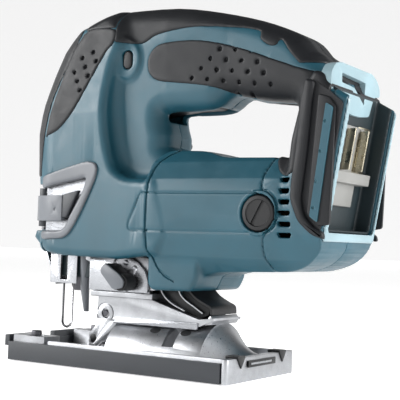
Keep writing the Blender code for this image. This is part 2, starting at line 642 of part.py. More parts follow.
# ---------------------------------------------------------------- shoe
def make_shoe():
    pivot = (0.0, 0.0, TILT_Z)
    base = plan_prism(rounded([(-76.0, -36.0), (79.5, -36.0), (79.5, 36.0), (-76.0, 36.0)], 2.0), 2.3, 6.0)
    tail = rounded([(74.3, -SHOE_HALF), (SHOE_REAR, -SHOE_HALF), (SHOE_REAR, SHOE_HALF),
                    (74.3, SHOE_HALF)], 2.0)
    cut(base, box(77.0, 90.0, -50.0, 50.0, 0.0, 20.0))
    join(base, plan_prism(tail, 0.0, 13.2))
    for y in (24.0, -24.0):
        cut(base, front_prism([(y - 5.0, 14.0), (y, 7.0), (y + 5.0, 14.0)], 70.0, 90.0))
    for side in (1.0, -1.0):
        low, high = sorted((side * 33.2, side * 36.0))
        join(base, box(-47.0, 74.6, low, high, 5.0, 13.0))
        low, high = sorted((side * 21.5, side * 36.0))
        join(base, box(-74.0, -50.0, low, high, 5.0, 15.0))
        cut(base, box(-66.0, -58.0, low + 2.0, high - 2.0, 12.0, 20.0))
    arch = circle(0, TILT_Z, RIDGE_R, 25, 12, 156)
    join(base, front_prism([(RIDGE_R, 5.0)] + arch + [(-RIDGE_R, 5.0)], -13.0, 53.0))
    # Hollow under the ridge, bolt slot across it and the blade slot
    cut(base, rod_x(0, TILT_Z, RIDGE_R - 3.0, 12.0, 50.0, 40))
    cut(base, box(TILT_BOLT_X - 3.8, TILT_BOLT_X + 3.8, -23.5, 23.5, 11.0, 40.0))
    cut(base, plan_prism(rounded([(-90.0, -14.5), (-21.0, -14.5), (-21.0, 14.5), (-90.0, 14.5)], 5.0), -1.0, 20.0))
    finish(base, "base_plate", "aluminium", pivot)

    front = [(-81.0, -30.0), (-76.0, -38.5), (74.0, -38.5), (74.0, 38.5), (-76.0, 38.5), (-81.0, 30.0)]
    cover = plan_prism(front, 0.0, 11.0)
    cut(cover, box(-76.3, 90.0, -36.3, 36.3, 2.0, 20.0))
    nose = box(-81.0, -77.5, -36.0, 36.0, 8.0, 14.5)
    join(cover, nose)
    cut(cover, box(12.0, 50.0, -RIDGE_R + 3.0, RIDGE_R - 3.0, -1.0, 5.0))
    cut(cover, box(-90.0, -44.0, -6.0, 6.0, -1.0, 20.0))
    cut(cover, plan_prism(rounded([(-46.0, -10.6), (-22.0, -10.6), (-22.0, 10.6), (-46.0, 10.6)], 4.0), -1.0, 20.0))
    finish(cover, "base_cover", "black_plastic", pivot)
    for side, name in ((-1.0, "fence_bolt_left"), (1.0, "fence_bolt_right")):
        bolt = rod_z(-62.0, side * 29.0, 3.4, 12.3, 18.0, 6)
        finish(bolt, name, "dark_steel", (-62.0, side * 29.0, 12.3))
    bolt = rod_z(TILT_BOLT_X, 0, 5.2, 19.8, 25.0, 6)
    join(bolt, rod_z(TILT_BOLT_X, 0, 3.0, 24.0, 38.0, 16))
    finish(bolt, "tilt_bolt", "dark_steel")


def main():
    clear_scene()
    make_housings()
    make_screws()
    make_soft_covers()
    make_terminals()
    make_motor()
    make_brushes()
    make_gears()
    make_plunger()
    make_gear_housing()
    make_nose()
    make_opener()
    make_selector()
    make_roller()
    make_controls()
    make_shoe()


main()
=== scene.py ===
"""Looks of the cordless jigsaw: surfaces, materials, light and camera.

Frame: origin at the centre of the sole, +Z up, blade end at -X, battery
mount at +X.  Lengths are in millimetres and become metres in each mesh.
"""
import json
import math

import bmesh
import bpy
import numpy as np
from mathutils import Matrix, Vector


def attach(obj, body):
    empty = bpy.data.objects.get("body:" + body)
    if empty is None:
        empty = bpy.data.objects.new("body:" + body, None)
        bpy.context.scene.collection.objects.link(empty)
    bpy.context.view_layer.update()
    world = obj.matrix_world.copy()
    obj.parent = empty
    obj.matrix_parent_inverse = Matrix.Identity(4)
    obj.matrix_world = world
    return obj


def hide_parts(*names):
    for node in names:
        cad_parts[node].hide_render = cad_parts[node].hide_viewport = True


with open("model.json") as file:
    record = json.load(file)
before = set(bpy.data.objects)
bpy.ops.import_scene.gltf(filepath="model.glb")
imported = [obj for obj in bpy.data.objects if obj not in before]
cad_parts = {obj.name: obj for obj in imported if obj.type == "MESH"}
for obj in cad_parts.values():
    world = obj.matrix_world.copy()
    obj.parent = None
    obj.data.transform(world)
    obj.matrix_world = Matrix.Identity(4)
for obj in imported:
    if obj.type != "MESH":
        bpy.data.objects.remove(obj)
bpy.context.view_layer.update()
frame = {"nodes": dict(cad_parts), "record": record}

MM = 0.001
VOXEL = 0.7      # grid pitch of the sculpted body
SIDES = (("left", -1.0), ("right", 1.0))

# Body sizes, shared with the CAD
HEAD_HALF = 29.6
HANDLE_HALF = 19.0
MOUNT_HALF = 33.6
BRUSH_X, BRUSH_Z = 91.1, 91.4           # axis of the brush caps
RIM_X, RIM_Z = 132.8, 96.0              # a point on the plane of the battery mount's rim
MOUNT_LEAN = 0.168                      # that plane's run to the back per unit of height
TILT_Z, RIDGE_R = 2.0, 27.0             # axis and radius of the half-round tilt ridge
EAR_X, EAR_Z = -20.6, 30.6              # roller arm's pivot boss on the foot
SELECTOR_X, SELECTOR_Z = -1.0, 50.2     # axis of the orbit selector
TUBE_X, TUBE_Y = -68.0, -19.0           # upright tube at the front of the tool opener

# Wall and rubber
WALL = 3.4                              # housing shell
SEAM = 0.12                             # half the gap between the two halves
RUBBER = 0.7                            # rubber stands this proud of the plastic
RUBBER_DEPTH = 2.2                      # and reaches this far below its surface
DOT_RADIUS, DOT_DEPTH = 1.2, 1.8        # dimples in the rubber

# Finish, in metres
WEAR_WIDTH = 0.0012
BUMP_DEPTH = 0.0002
FLOOR_Z = -0.0006


def rim_x(z):
    """x of the battery mount's rim plane at height z."""
    return RIM_X + MOUNT_LEAN * (z - RIM_Z)


# -------------------- camera
def add_camera():
    """Camera at the photograph's viewing angle."""
    turn, rise, roll = (math.radians(angle) for angle in (32.2, -2.4, 2.0))
    back = Vector((math.sin(turn) * math.cos(rise), -math.cos(turn) * math.cos(rise), math.sin(rise)))
    right = Vector((math.cos(turn), math.sin(turn), 0.0))
    up = back.cross(right)
    rolled_right = math.cos(roll) * right + math.sin(roll) * up
    rolled_up = math.cos(roll) * up - math.sin(roll) * right
    data = bpy.data.cameras.new("camera")
    data.lens = 91.26
    data.sensor_width = 36.0
    data.clip_start = 0.01
    made = link(data, "camera")
    place = Matrix((rolled_right, rolled_up, back)).transposed().to_4x4()
    place.translation = Vector((0.35037, -0.50261, 0.07476))
    made.matrix_world = place
    bpy.context.scene.camera = made


# -------------------- outlines
def spline(points, per=6, closed=True):
    """Catmull-Rom curve through the points."""
    count = len(points)
    result = []
    spans = count if closed else count - 1
    for i in range(spans):
        if closed:
            p0, p1, p2, p3 = (Vector(points[(i + k - 1) % count]) for k in range(4))
        else:
            p1, p2 = Vector(points[i]), Vector(points[i + 1])
            p0 = Vector(points[i - 1]) if i else p1 * 2 - p2
            p3 = Vector(points[i + 2]) if i + 2 < count else p2 * 2 - p1
        for k in range(per):
            t = k / per
            point = 0.5 * (2 * p1 + (p2 - p0) * t + (2 * p0 - 5 * p1 + 4 * p2 - p3) * t * t
                           + (3 * p1 - p0 - 3 * p2 + p3) * t ** 3)
            result.append((point.x, point.y))
    if not closed:
        result.append(tuple(points[-1]))
    return result


def rounded(outline, radius):
    """Closed outline with each corner replaced by a short curve."""
    steps = 4
    result = []
    count = len(outline)
    for i in range(count):
        here = Vector(outline[i])
        before = Vector(outline[i - 1]) - here
        after = Vector(outline[(i + 1) % count]) - here
        reach = min(radius, before.length * 0.45, after.length * 0.45)
        start = here + before.normalized() * reach
        end = here + after.normalized() * reach
        for k in range(steps + 1):
            t = k / steps
            point = start.lerp(here, t).lerp(here.lerp(end, t), t)
            result.append((point.x, point.y))
    return result


def arc(u, v, radius, start, sweep, count=12):
    """Open arc from a start angle over a sweep, both in degrees."""
    points = []
    for i in range(count + 1):
        angle = math.radians(start + sweep * i / count)
        points.append((u + radius * math.cos(angle), v + radius * math.sin(angle)))
    return points


def circle(u, v, radius, count=32):
    return arc(u, v, radius, 0.0, 360.0, count)[:-1]


# -------------------- distance fields
def squared_gap(first, second, a, b):
    """Squared distance to the segment from a to b, over two flat axes."""
    eu, ev = b[0] - a[0], b[1] - a[1]
    t = np.clip(((first - a[0]) * eu + (second - a[1]) * ev) / (eu * eu + ev * ev + 1e-9), 0, 1)
    return (first - a[0] - t * eu) ** 2 + (second - a[1] - t * ev) ** 2


class Field:
    """Regular grid on which signed distances (negative inside) are combined."""

    def __init__(self, low, high, pitch):
        self.low, self.pitch = low, pitch
        self.axes = [np.arange(a, b + pitch, pitch, dtype=np.float32) for a, b in zip(low, high)]
        self.x = self.axes[0][:, None, None]
        self.s = self.axes[1][None, :, None]
        self.y = np.abs(self.s)
        self.z = self.axes[2][None, None, :]

    def flat(self, outline, first, second):
        """Signed distance to a closed outline over two flat axes."""
        best = np.full(np.broadcast(first, second).shape, 1e9, dtype=np.float32)
        inside = np.zeros(best.shape, dtype=bool)
        for (au, av), (bu, bv) in zip(outline, outline[1:] + outline[:1]):
            best = np.minimum(best, squared_gap(first, second, (au, av), (bu, bv)))
            if bv != av:
                crosses = (av > second) != (bv > second)
                inside ^= crosses & (first < au + (bu - au) * (second - av) / (bv - av))
        return np.where(inside, -1.0, 1.0).astype(np.float32) * np.sqrt(best)

    def side(self, outline):
        """Signed distance to a closed outline in x, z."""
        return self.flat(outline, self.x, self.z)

    def front(self, outline):
        """Signed distance to a closed outline in |y|, z."""
        return self.flat(outline, self.y, self.z)

    def extrude(self, side, half, radius):
        """Side distance extruded across to y = +-half with rounded edges."""
        a = side + radius
        b = self.y - half + radius
        outer = np.sqrt(np.maximum(a, 0) ** 2 + np.maximum(b, 0) ** 2)
        return outer + np.minimum(np.maximum(a, b), 0) - radius

    def track(self, points):
        """Distance to an open line in x, z."""
        best = np.full((self.x.size, 1, self.z.size), 1e9, dtype=np.float32)
        for a, b in zip(points, points[1:]):
            best = np.minimum(best, squared_gap(self.x, self.z, a, b))
        return np.sqrt(best)


def soft_union(a, b, k):
    """Both shapes, blended over the distance k."""
    h = np.clip(0.5 + 0.5 * (b - a) / k, 0, 1)
    return b + (a - b) * h - k * h * (1 - h)


def cropped(field, values):
    """Values around the used part of the grid, and the place of their first corner."""
    filled = values < 0
    spans = []
    for axis in range(3):
        others = tuple(n for n in range(3) if n != axis)
        used = np.flatnonzero(filled.any(axis=others))
        spans.append(slice(max(used[0] - 2, 0), used[-1] + 3))
    origin = np.array([axis[span.start] for axis, span in zip(field.axes, spans)])
    return values[tuple(spans)], origin


def net_points(values, inside):
    """Mean crossing point in each cell that the surface passes, and the cells' numbers."""
    cells = tuple(s - 1 for s in values.shape)
    corners = [(i, j, k) for i in (0, 1) for j in (0, 1) for k in (0, 1)]
    total = np.zeros(cells, dtype=np.int8)
    for c in corners:
        total += inside[tuple(slice(v, v + size) for v, size in zip(c, cells))]
    index = np.argwhere((total > 0) & (total < 8))
    number = np.full(cells, -1, dtype=np.int64)
    number[tuple(index.T)] = np.arange(len(index))
    sums = np.zeros((len(index), 3))
    hits = np.zeros(len(index))
    for a in corners:
        for axis in range(3):
            if a[axis]:
                continue
            b = tuple(v + (n == axis) for n, v in enumerate(a))
            va = values[tuple((index + a).T)]
            vb = values[tuple((index + b).T)]
            crossed = (va < 0) != (vb < 0)
            t = np.where(crossed, va / np.where(crossed, va - vb, 1), 0)
            point = np.array(a)[None, :] + np.eye(3)[axis][None, :] * t[:, None]
            sums += point * crossed[:, None]
            hits += crossed
    return index + sums / hits[:, None], number


def net_faces(inside, number):
    """The four cells around each crossed grid edge, turned so that faces point outwards."""
    quads = []
    for axis in range(3):
        u, v = (axis + 1) % 3, (axis + 2) % 3
        first = [slice(None)] * 3
        second = [slice(None)] * 3
        first[axis] = slice(0, -1)
        second[axis] = slice(1, None)
        edges = np.argwhere(inside[tuple(first)] != inside[tuple(second)])
        edges = edges[(edges[:, u] > 0) & (edges[:, v] > 0)]
        flip = inside[tuple(edges.T)]
        ring = []
        for du, dv in ((1, 1), (0, 1), (0, 0), (1, 0)):
            step = np.zeros(3, dtype=int)
            step[u], step[v] = du, dv
            ring.append(number[tuple((edges - step).T)])
        ring = np.stack(ring, axis=1)
        quads.append(np.where(flip[:, None], ring, ring[:, ::-1]))
    return np.concatenate(quads)


def surface(field, values, name):
    """Closed mesh of the zero surface (surface nets)."""
    values, origin = cropped(field, values)
    inside = values < 0
    points, number = net_points(values, inside)
    verts = points * field.pitch + origin
    quads = net_faces(inside, number)
    mesh = bpy.data.meshes.new(name)
    mesh.vertices.add(len(verts))
    mesh.vertices.foreach_set("co", (verts * MM).astype(np.float32).ravel())
    mesh.loops.add(quads.size)
    mesh.loops.foreach_set("vertex_index", quads.astype(np.int32).ravel())
    mesh.polygons.add(len(quads))
    mesh.polygons.foreach_set("loop_start", np.arange(0, quads.size, 4, dtype=np.int32))
    mesh.update(calc_edges=True)
    mesh.validate()
    return link(mesh, name)


# -------------------- mesh helpers
def link(data, name):
    """New object in the scene for a mesh, lamp or camera."""
    made = bpy.data.objects.new(name, data)
    bpy.context.scene.collection.objects.link(made)
    return made


def from_bmesh(bm):
    """Object from a bmesh in millimetres."""
    bmesh.ops.scale(bm, vec=(MM, MM, MM), verts=bm.verts)
    bmesh.ops.recalc_face_normals(bm, faces=bm.faces)
    mesh = bpy.data.meshes.new("shape")
    bm.to_mesh(mesh)
    bm.free()
    return link(mesh, "shape")


def loft(rings):
    """Closed solid through rings of 3-D points with equal counts."""
    bm = bmesh.new()
    made = [[bm.verts.new(p) for p in ring] for ring in rings]
    count = len(made[0])
    for low, high in zip(made, made[1:]):
        for i in range(count):
            j = (i + 1) % count
            bm.faces.new((low[i], low[j], high[j], high[i]))
    bm.faces.new(made[0])
    bm.faces.new(made[-1])
    return from_bmesh(bm)


def side_prism(outline, y0, y1):
    """Solid from an outline in x, z."""
    return loft([[(x, y, z) for x, z in outline] for y in (y0, y1)])


def front_prism(outline, x0, x1):
    """Solid from an outline in y, z."""
    return loft([[(x, y, z) for y, z in outline] for x in (x0, x1)])


def plan_prism(outline, z0, z1):
    """Solid from an outline in x, y."""
    return loft([[(x, y, z) for x, y in outline] for z in (z0, z1)])


def box(x0, x1, y0, y1, z0, z1):
    return plan_prism([(x0, y0), (x1, y0), (x1, y1), (x0, y1)], z0, z1)


def bake(target):
    """Apply an object's modifiers."""
    graph = bpy.context.evaluated_depsgraph_get()
    mesh = bpy.data.meshes.new_from_object(target.evaluated_get(graph))
    target.modifiers.clear()
    target.data = mesh
    return target


def cut(target, *tools, solver="MANIFOLD"):
    """Take closed shapes out of a piece; each of them is used up."""
    for tool in tools:
        step = target.modifiers.new("cut", "BOOLEAN")
        step.operation = "DIFFERENCE"
        step.solver = solver
        step.object = tool
        bake(target)
        bpy.data.objects.remove(tool, do_unlink=True)
    return target


def copy_of(node):
    """Copy of a CAD node's mesh with its corners welded."""
    bm = bmesh.new()
    bm.from_mesh(frame["nodes"][node].data)
    bmesh.ops.remove_doubles(bm, verts=bm.verts, dist=2e-6)
    bmesh.ops.dissolve_limit(bm, angle_limit=math.radians(0.5), verts=bm.verts, edges=bm.edges)
    mesh = bpy.data.meshes.new("copy")
    bm.to_mesh(mesh)
    bm.free()
    return link(mesh, "copy")


def bevel(target, width, segments=2, angle=35.0):
    """Soften the edges that are sharper than the angle."""
    step = target.modifiers.new("bevel", "BEVEL")
    step.width = width * MM
    step.segments = segments
    step.limit_method = "ANGLE"
    step.angle_limit = math.radians(angle)
    step.harden_normals = False
    return bake(target)


def smooth(target, angle=32.0):
    """Smooth shading, kept sharp at edges above the angle."""
    target.data.shade_smooth()
    target.data.set_sharp_from_angle(angle=math.radians(angle))
    return target


def dress(target, name, body, material, nodes=()):
    """Name a piece, give it a material, tie it to a body and to its CAD nodes."""
    target.name = name
    target.data.name = name
    target.data.materials.clear()
    target.data.materials.append(material)
    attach(target, body)
    if nodes:
        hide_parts(*nodes)
    return target


# -------------------- materials
def new_material(name):
    """A material, its node tree and its shader."""
    made = bpy.data.materials.new(name)
    made.use_nodes = True
    return made, made.node_tree, made.node_tree.nodes["Principled BSDF"]


def set_inputs(node, **values):
    """Constant values on a node's inputs; an underscore in a name stands for a space."""
    for name, value in values.items():
        node.inputs[name.replace("_", " ")].default_value = value


def add_node(tree, kind, **values):
    """New shader node of a kind, with constant values on its inputs."""
    made = tree.nodes.new("ShaderNode" + kind)
    set_inputs(made, **values)
    return made


def noise(tree, scale, detail=3.0, rough=0.55):
    """Noise over the object's own coordinates, in features per metre."""
    where = add_node(tree, "TexCoord")
    made = add_node(tree, "TexNoise", Scale=scale, Detail=detail, Roughness=rough)
    tree.links.new(where.outputs["Object"], made.inputs["Vector"])
    return made.outputs["Fac"]


def ramp(tree, source, low, high, start=0.3, end=0.7):
    """Value from low to high while the source goes from start to end."""
    made = add_node(tree, "MapRange", From_Min=start, From_Max=end, To_Min=low, To_Max=high)
    tree.links.new(source, made.inputs["Value"])
    return made.outputs["Result"]


def mixed(tree, factor, first, second):
    """Mix of two colours, each a tuple or a socket."""
    made = add_node(tree, "Mix")
    made.data_type = "RGBA"
    tree.links.new(factor, made.inputs["Factor"])
    for socket, value in ((made.inputs[6], first), (made.inputs[7], second)):
        if isinstance(value, tuple):
            socket.default_value = (*value, 1.0)
        else:
            tree.links.new(value, socket)
    return made.outputs[2]


def edge_wear(tree):
    """1 along convex edges: the bevelled normal leaves the true one there."""
    bevelled = add_node(tree, "Bevel", Radius=WEAR_WIDTH)
    bevelled.samples = 4
    geometry = add_node(tree, "NewGeometry")
    dot = add_node(tree, "VectorMath")
    dot.operation = "DOT_PRODUCT"
    tree.links.new(bevelled.outputs["Normal"], dot.inputs[0])
    tree.links.new(geometry.outputs["Normal"], dot.inputs[1])
    return ramp(tree, dot.outputs["Value"], 1.0, 0.0, 0.55, 0.8)


def add_bump(tree, shader, height, strength):
    bumps = add_node(tree, "Bump", Strength=strength, Distance=BUMP_DEPTH)
    tree.links.new(height, bumps.inputs["Height"])
    tree.links.new(bumps.outputs["Normal"], shader.inputs["Normal"])


def plastic(name, colour, wear, roughness=0.42, grain=2600.0, bump=0.12, specular=0.5):
    """Moulded plastic: fine spark grain, faint blotches, paler edges."""
    made, tree, shader = new_material(name)
    blotch = 0.10
    blotches = noise(tree, 45.0, 4.0)
    darker = tuple(v * (1 - blotch) for v in colour)
    lighter = tuple(v * (1 + blotch) for v in colour)
    base = mixed(tree, ramp(tree, blotches, 0.0, 1.0), darker, lighter)
    tree.links.new(mixed(tree, edge_wear(tree), base, wear), shader.inputs["Base Color"])
    smudges = noise(tree, 90.0, 5.0, 0.65)
    tree.links.new(ramp(tree, smudges, roughness - 0.06, roughness + 0.08), shader.inputs["Roughness"])
    set_inputs(shader, Specular_IOR_Level=specular)
    add_bump(tree, shader, noise(tree, grain, 2.0), bump)
    return made


def metal(name, colour, roughness=0.35, grain=(900.0, 900.0, 900.0), bump=0.1, dirt=0.25):
    """Cast or drawn metal: grain stretched by the scale, dull patches at random."""
    made, tree, shader = new_material(name)
    set_inputs(shader, Metallic=1.0)
    where = add_node(tree, "TexCoord")
    stretch = add_node(tree, "Mapping", Scale=grain)
    tree.links.new(where.outputs["Object"], stretch.inputs["Vector"])
    fine = add_node(tree, "TexNoise", Scale=1.0, Detail=4.0)
    tree.links.new(stretch.outputs["Vector"], fine.inputs["Vector"])
    patches = noise(tree, 70.0, 5.0, 0.6)
    dull = tuple(v * (1 - dirt) for v in colour)
    tone = ramp(tree, patches, 0.0, 1.0, 0.35, 0.65)
    tree.links.new(mixed(tree, tone, dull, colour), shader.inputs["Base Color"])
    sheen = ramp(tree, fine.outputs["Fac"], roughness - 0.1, roughness + 0.12)
    tree.links.new(sheen, shader.inputs["Roughness"])
    add_bump(tree, shader, fine.outputs["Fac"], bump)
    return made


TEAL = plastic("teal_plastic", (0.0105, 0.068, 0.098), (0.04, 0.14, 0.18), 0.42)
# Near-black teal: paints the shade inside the battery bay and behind the nose sheets.
TEAL_PAINTED_SHADE = plastic("teal_painted_shade", (0.004, 0.013, 0.017), (0.01, 0.025, 0.03), 0.5)
# Paler copy of the teal plastic: paints the light that the back lamp throws on the mount's rim and bridge.
TEAL_PAINTED_LIGHT = plastic("teal_plastic_painted_light", (0.24, 0.35, 0.39), (0.40, 0.49, 0.53), 0.38)
RUBBER_BLACK = plastic("soft_rubber", (0.0085, 0.0095, 0.0115), (0.022, 0.024, 0.028), 0.50, 3600.0, 0.3, 0.3)
BLACK = plastic("black_plastic", (0.0050, 0.0055, 0.0065), (0.02, 0.021, 0.023), 0.45, 2200.0, 0.15, 0.4)
GREY = plastic("grey_plastic", (0.120, 0.130, 0.145), (0.20, 0.21, 0.23), 0.42, 2600.0, 0.15)
GREY_DARK = plastic("dark_grey_plastic", (0.028, 0.032, 0.038), (0.07, 0.075, 0.08), 0.5, 2600.0, 0.2)
WHITE = plastic("pale_plastic", (0.22, 0.22, 0.21), (0.50, 0.50, 0.49), 0.45, 2600.0, 0.1)
CARBON = plastic("carbon", (0.02, 0.02, 0.02), (0.05, 0.05, 0.05), 0.7, 1500.0, 0.3, 0.2)
CAST = metal("cast_aluminium", (0.44, 0.45, 0.47), 0.36, (1500.0, 1500.0, 1500.0), 0.25)
SHEET = metal("brushed_sheet", (0.37, 0.38, 0.40), 0.30, (250.0, 250.0, 5000.0), 0.08, 0.12)
STEEL = metal("drawn_steel", (0.28, 0.28, 0.29), 0.26, (400.0, 400.0, 4000.0), 0.08)
DARK_STEEL = metal("dark_steel", (0.10, 0.10, 0.11), 0.42, (1600.0, 1600.0, 1600.0), 0.15)
BRASS = metal("plated_brass", (0.60, 0.55, 0.42), 0.28, (300.0, 4000.0, 300.0), 0.08)
COPPER = metal("copper", (0.72, 0.38, 0.22), 0.38)

SLOT_MATERIAL = {"teal_housing": TEAL, "elastomer": RUBBER_BLACK, "cast_aluminium": CAST,
                 "black_plastic": BLACK, "grey_plastic": GREY, "pale_plastic": WHITE, "steel": STEEL,
                 "dark_steel": DARK_STEEL, "brass": BRASS, "copper": COPPER, "carbon": CARBON}


def dress_cad_nodes():
    """Procedural finish on every CAD node that stays visible."""
    slots = {node["node"]: node["material_slot"] for node in frame["record"]["subparts"]}
    for name, held in frame["nodes"].items():
        finish = SLOT_MATERIAL.get(slots.get(name), GREY)
        held.data.materials.clear()
        held.data.materials.append(finish)


# -------------------- body
HEAD = [(-75.9, 67.2), (-77, 95), (-77.5, 120), (-78.6, 139), (-75.4, 157), (-69.5, 173),
        (-62.2, 190), (-53, 202), (-37.5, 209), (-22, 210), (-12, 202), (-10.1, 189.6),
        (-13.4, 180.8), (-15.2, 172), (-16.7, 157.2), (-15.1, 139.3), (-11.4, 124.4), (-6.6, 115.5),
        (2.3, 110.8), (14, 110), (26, 106), (26, 67.2)]
TOP_LINE = [(-22, 211.8), (-14.5, 212.6), (21.5, 211.4), (50, 206.5), (76.7, 199.5), (95.9, 192.2),
            (105.3, 187), (111.6, 179.9), (117, 175.7)]
RING = ([(-70, 100), (-75, 150), (-60, 190), (-40, 207)] + TOP_LINE
        + [(123, 166), (127, 140), (121, 100), (113, 84), (60, 84), (-10, 96)])
HAND_HOLE = [(100.4, 124), (101.2, 131.8), (103, 149.6), (95.6, 153.7), (73.7, 155.8),
             (62.1, 158), (51.2, 151.2), (38, 150), (19, 150), (17.2, 145.5),
             (19.7, 136.7), (21.5, 127.9), (45, 126.6), (62, 122.2), (92, 121.6)]
MOTOR = [(16.5, 121), (22.5, 127.6), (49, 126.6), (61.7, 122.3), (99.5, 121.8), (112, 118),
         (122, 90), (129, 74.5), (120.6, 65.2), (108.9, 60.9), (58.8, 58.7), (47.6, 54.7),
         (35.5, 53), (26, 57), (20, 66), (16.5, 80)]
MOTOR_SECTION = [(-40, 50), (12, 52), (22, 57.5), (29.5, 67), (33, 80.6), (33, 101.8),
                 (31, 110), (24.5, 120), (14, 129), (-40, 132)]
RIM_TOP, RIM_FOOT = 151.0, 76.5
MOUNT = [(107.0, 104.0), (111.0, 89.0), (121.0, 79.5), (rim_x(RIM_FOOT), RIM_FOOT),
         (rim_x(RIM_TOP), RIM_TOP), (134.0, 155.5), (128.5, 159.5), (127.0, 164.0), (122.0, 166.0),
         (116.0, 157.0), (109.5, 130.0)]
LOWER_BOX = [(16.6, 70), (17, 50), (20, 46.7), (47, 47.4), (51, 55), (51, 75)]
FRONT_PAD = [(-39.2, 199), (-56, 160), (-64.8, 119.5), (-61.5, 134.6), (-51.2, 139.7),
             (-40.8, 149.8), (-30.1, 167.6), (-19.6, 185.1), (-14, 191.5), (-14, 200)]
NOSE_STRIP = [(-90, 112), (-90, 215), (-40, 215), (-40.5, 199), (-57.2, 160), (-66, 119.5),
              (-66.5, 112)]
SIDE_PAD = [(6.3, 176.5), (6.6, 182), (10, 187.3), (18, 190.4), (42, 190.3), (68.6, 184),
            (87.7, 177.1), (103.7, 171.2), (135, 157), (112, 113), (97.5, 119), (101, 150),
            (90, 153), (66.3, 157.5), (53.2, 161.9), (39.8, 164.3), (23.9, 166.3), (13.3, 168.1),
            (8.1, 171.9)]
GRIP_EDGE = [(106, 172), (100.7, 177.7), (94.3, 185.8), (92, 183.2), (87.6, 183), (81.3, 187.3),
             (78.6, 192.6), (53.9, 196.3), (33.7, 197.4), (12.9, 195), (2.3, 190.5), (-14.2, 191.5)]
OVAL = arc(-7.0, 183.8, 3.4, 0.0, 180.0, 8) + arc(-7.0, 179.2, 3.4, 180.0, 180.0, 8)
MOTOR_SEAM = [(30, 127.6), (23.6, 123), (19.6, 116), (18.9, 103.6), (18.5, 80.8), (20.6, 66.7),
              (26.5, 57.4), (35.5, 52.5)]
REAR_SEAM = [(97, 124), (92.8, 113.2), (92.5, 104.7), (97, 102.6), (101, 98.4), (102.4, 91.6),
             (100.4, 84.5), (94.4, 79.3), (94, 69.4), (98.7, 60)]
NAME_PANEL = [(90, 102.3), (18.5, 102.3), (14.8, 102.3), (13, 100), (5.5, 84.2), (5.4, 82),
              (7.5, 80.7), (18.5, 80.7), (86, 80.7)]
TRIGGER_POCKET = [(-5.5, 172), (-5.5, 156), (3, 145), (25, 145), (52, 147),
                  (52, 164), (44, 172)]
BEZEL = [(-63.5, 112.3), (-58.4, 113.8), (-41.2, 118.5), (-26.7, 121.6), (-20, 120.5), (-17.9, 116.5),
         (-19.5, 110), (-26.4, 96.4), (-34.4, 82.6), (-39, 76.4), (-43.8, 73.6), (-63.5, 72.3)]
BEZEL_HOLE = [(-70, 104), (-59.5, 105), (-49.5, 107), (-27.2, 111.1), (-29.2, 103.9),
              (-39.6, 87.5), (-42.2, 81.7), (-46, 79.3), (-70, 78.6)]


def front_x(z):
    """x of the nose at height z."""
    return np.interp(z, [60.0, 120.0, 139.0, 157.0, 173.0, 190.0, 202.0, 212.0],
                     [-75.5, -77.5, -78.6, -75.4, -69.5, -62.2, -53.0, -30.0])


def rim_field(grid):
    """Signed distance from the mount's rim plane, positive behind it."""
    return grid.x - np.float32(RIM_X) - MOUNT_LEAN * (grid.z - RIM_Z)


def mount_field(grid):
    return grid.extrude(grid.side(rounded(MOUNT, 3.0)), MOUNT_HALF, 3.0)


def body_field(grid):
    """Signed distance of the whole teal body without its openings."""
    reach = np.clip(1.0 - (grid.x - front_x(grid.z)) / 24.0, 0.0, 1.0)
    waist = np.interp(grid.z, [60.0, 150.0, 200.0, 215.0], [HEAD_HALF, HEAD_HALF, 24.0, 20.0])
    waist = waist + 3.2 * np.clip((grid.x + 40.0) / 56.0, 0.0, 1.0) ** 1.5
    head = grid.extrude(grid.side(spline(HEAD, 3)), waist - 17.0 * reach ** 2.2, 5.0)
    ring = np.maximum(grid.side(spline(RING, 3)), -grid.side(spline(HAND_HOLE, 3)))
    slim = np.interp(grid.x, [-20.0, 20.0, 60.0, 110.0],
                     [HANDLE_HALF, HANDLE_HALF + 0.6, HANDLE_HALF, HANDLE_HALF + 1.5])
    handle = grid.extrude(ring, slim, 12.0)
    motor = np.maximum(grid.side(rounded(MOTOR, 7.0)), grid.front(MOTOR_SECTION))
    lower = grid.extrude(grid.side(rounded(LOWER_BOX, 3.0)), 27.5, 2.5)
    body = soft_union(head, handle, 7.0)
    body = soft_union(body, motor, 1.6)
    # Raised ring around the brush cap and a swelling around the lock-off button
    ring_wall = np.abs(np.hypot(grid.x - BRUSH_X, grid.z - BRUSH_Z) - 11.2) - 0.8
    body = np.minimum(body, np.maximum(ring_wall, np.abs(grid.y - 31.0) - 3.1))
    button = np.hypot(grid.x + 7.0, (grid.z - 181.5) * 0.75) - 7.5
    body = soft_union(body, np.maximum(button, grid.y - 20.6), 4.0)
    body = soft_union(body, lower, 2.0)
    body = soft_union(body, mount_field(grid), 5.0)
    return np.maximum(body, -(grid.z - 46.0))


def groove(body, line, width, depth):
    """Channel along a distance line, depth below the surface."""
    return np.maximum(body, -np.maximum(np.abs(line) - width, -(body + depth)))


def bay_field(grid):
    """Space for the battery, open at the back and at the top."""
    lean = MOUNT_LEAN * 108.0
    line = [(116.6, 82.0), (160.0, 82.0), (180.0, 190.0), (116.6 + lean, 190.0)]
    return grid.extrude(grid.side(line), 30.0, 3.0)


def block(grid, x0, x1, y0, y1, z0, z1):
    """Distance to a box given by its x, |y| and z ranges."""
    return np.maximum(np.maximum(np.abs(grid.x - (x0 + x1) / 2) - (x1 - x0) / 2,
                                 np.abs(grid.y - (y0 + y1) / 2) - (y1 - y0) / 2),
                      np.abs(grid.z - (z0 + z1) / 2) - (z1 - z0) / 2)


def lattice(start, rows, across, down):
    """Staggered dot places: rows is a list of (first column, count)."""
    return [(start[0] + across[0] * c + down[0] * r, start[1] + across[1] * c + down[1] * r)
            for r, (first, count) in enumerate(rows) for c in np.arange(first, first + count)]


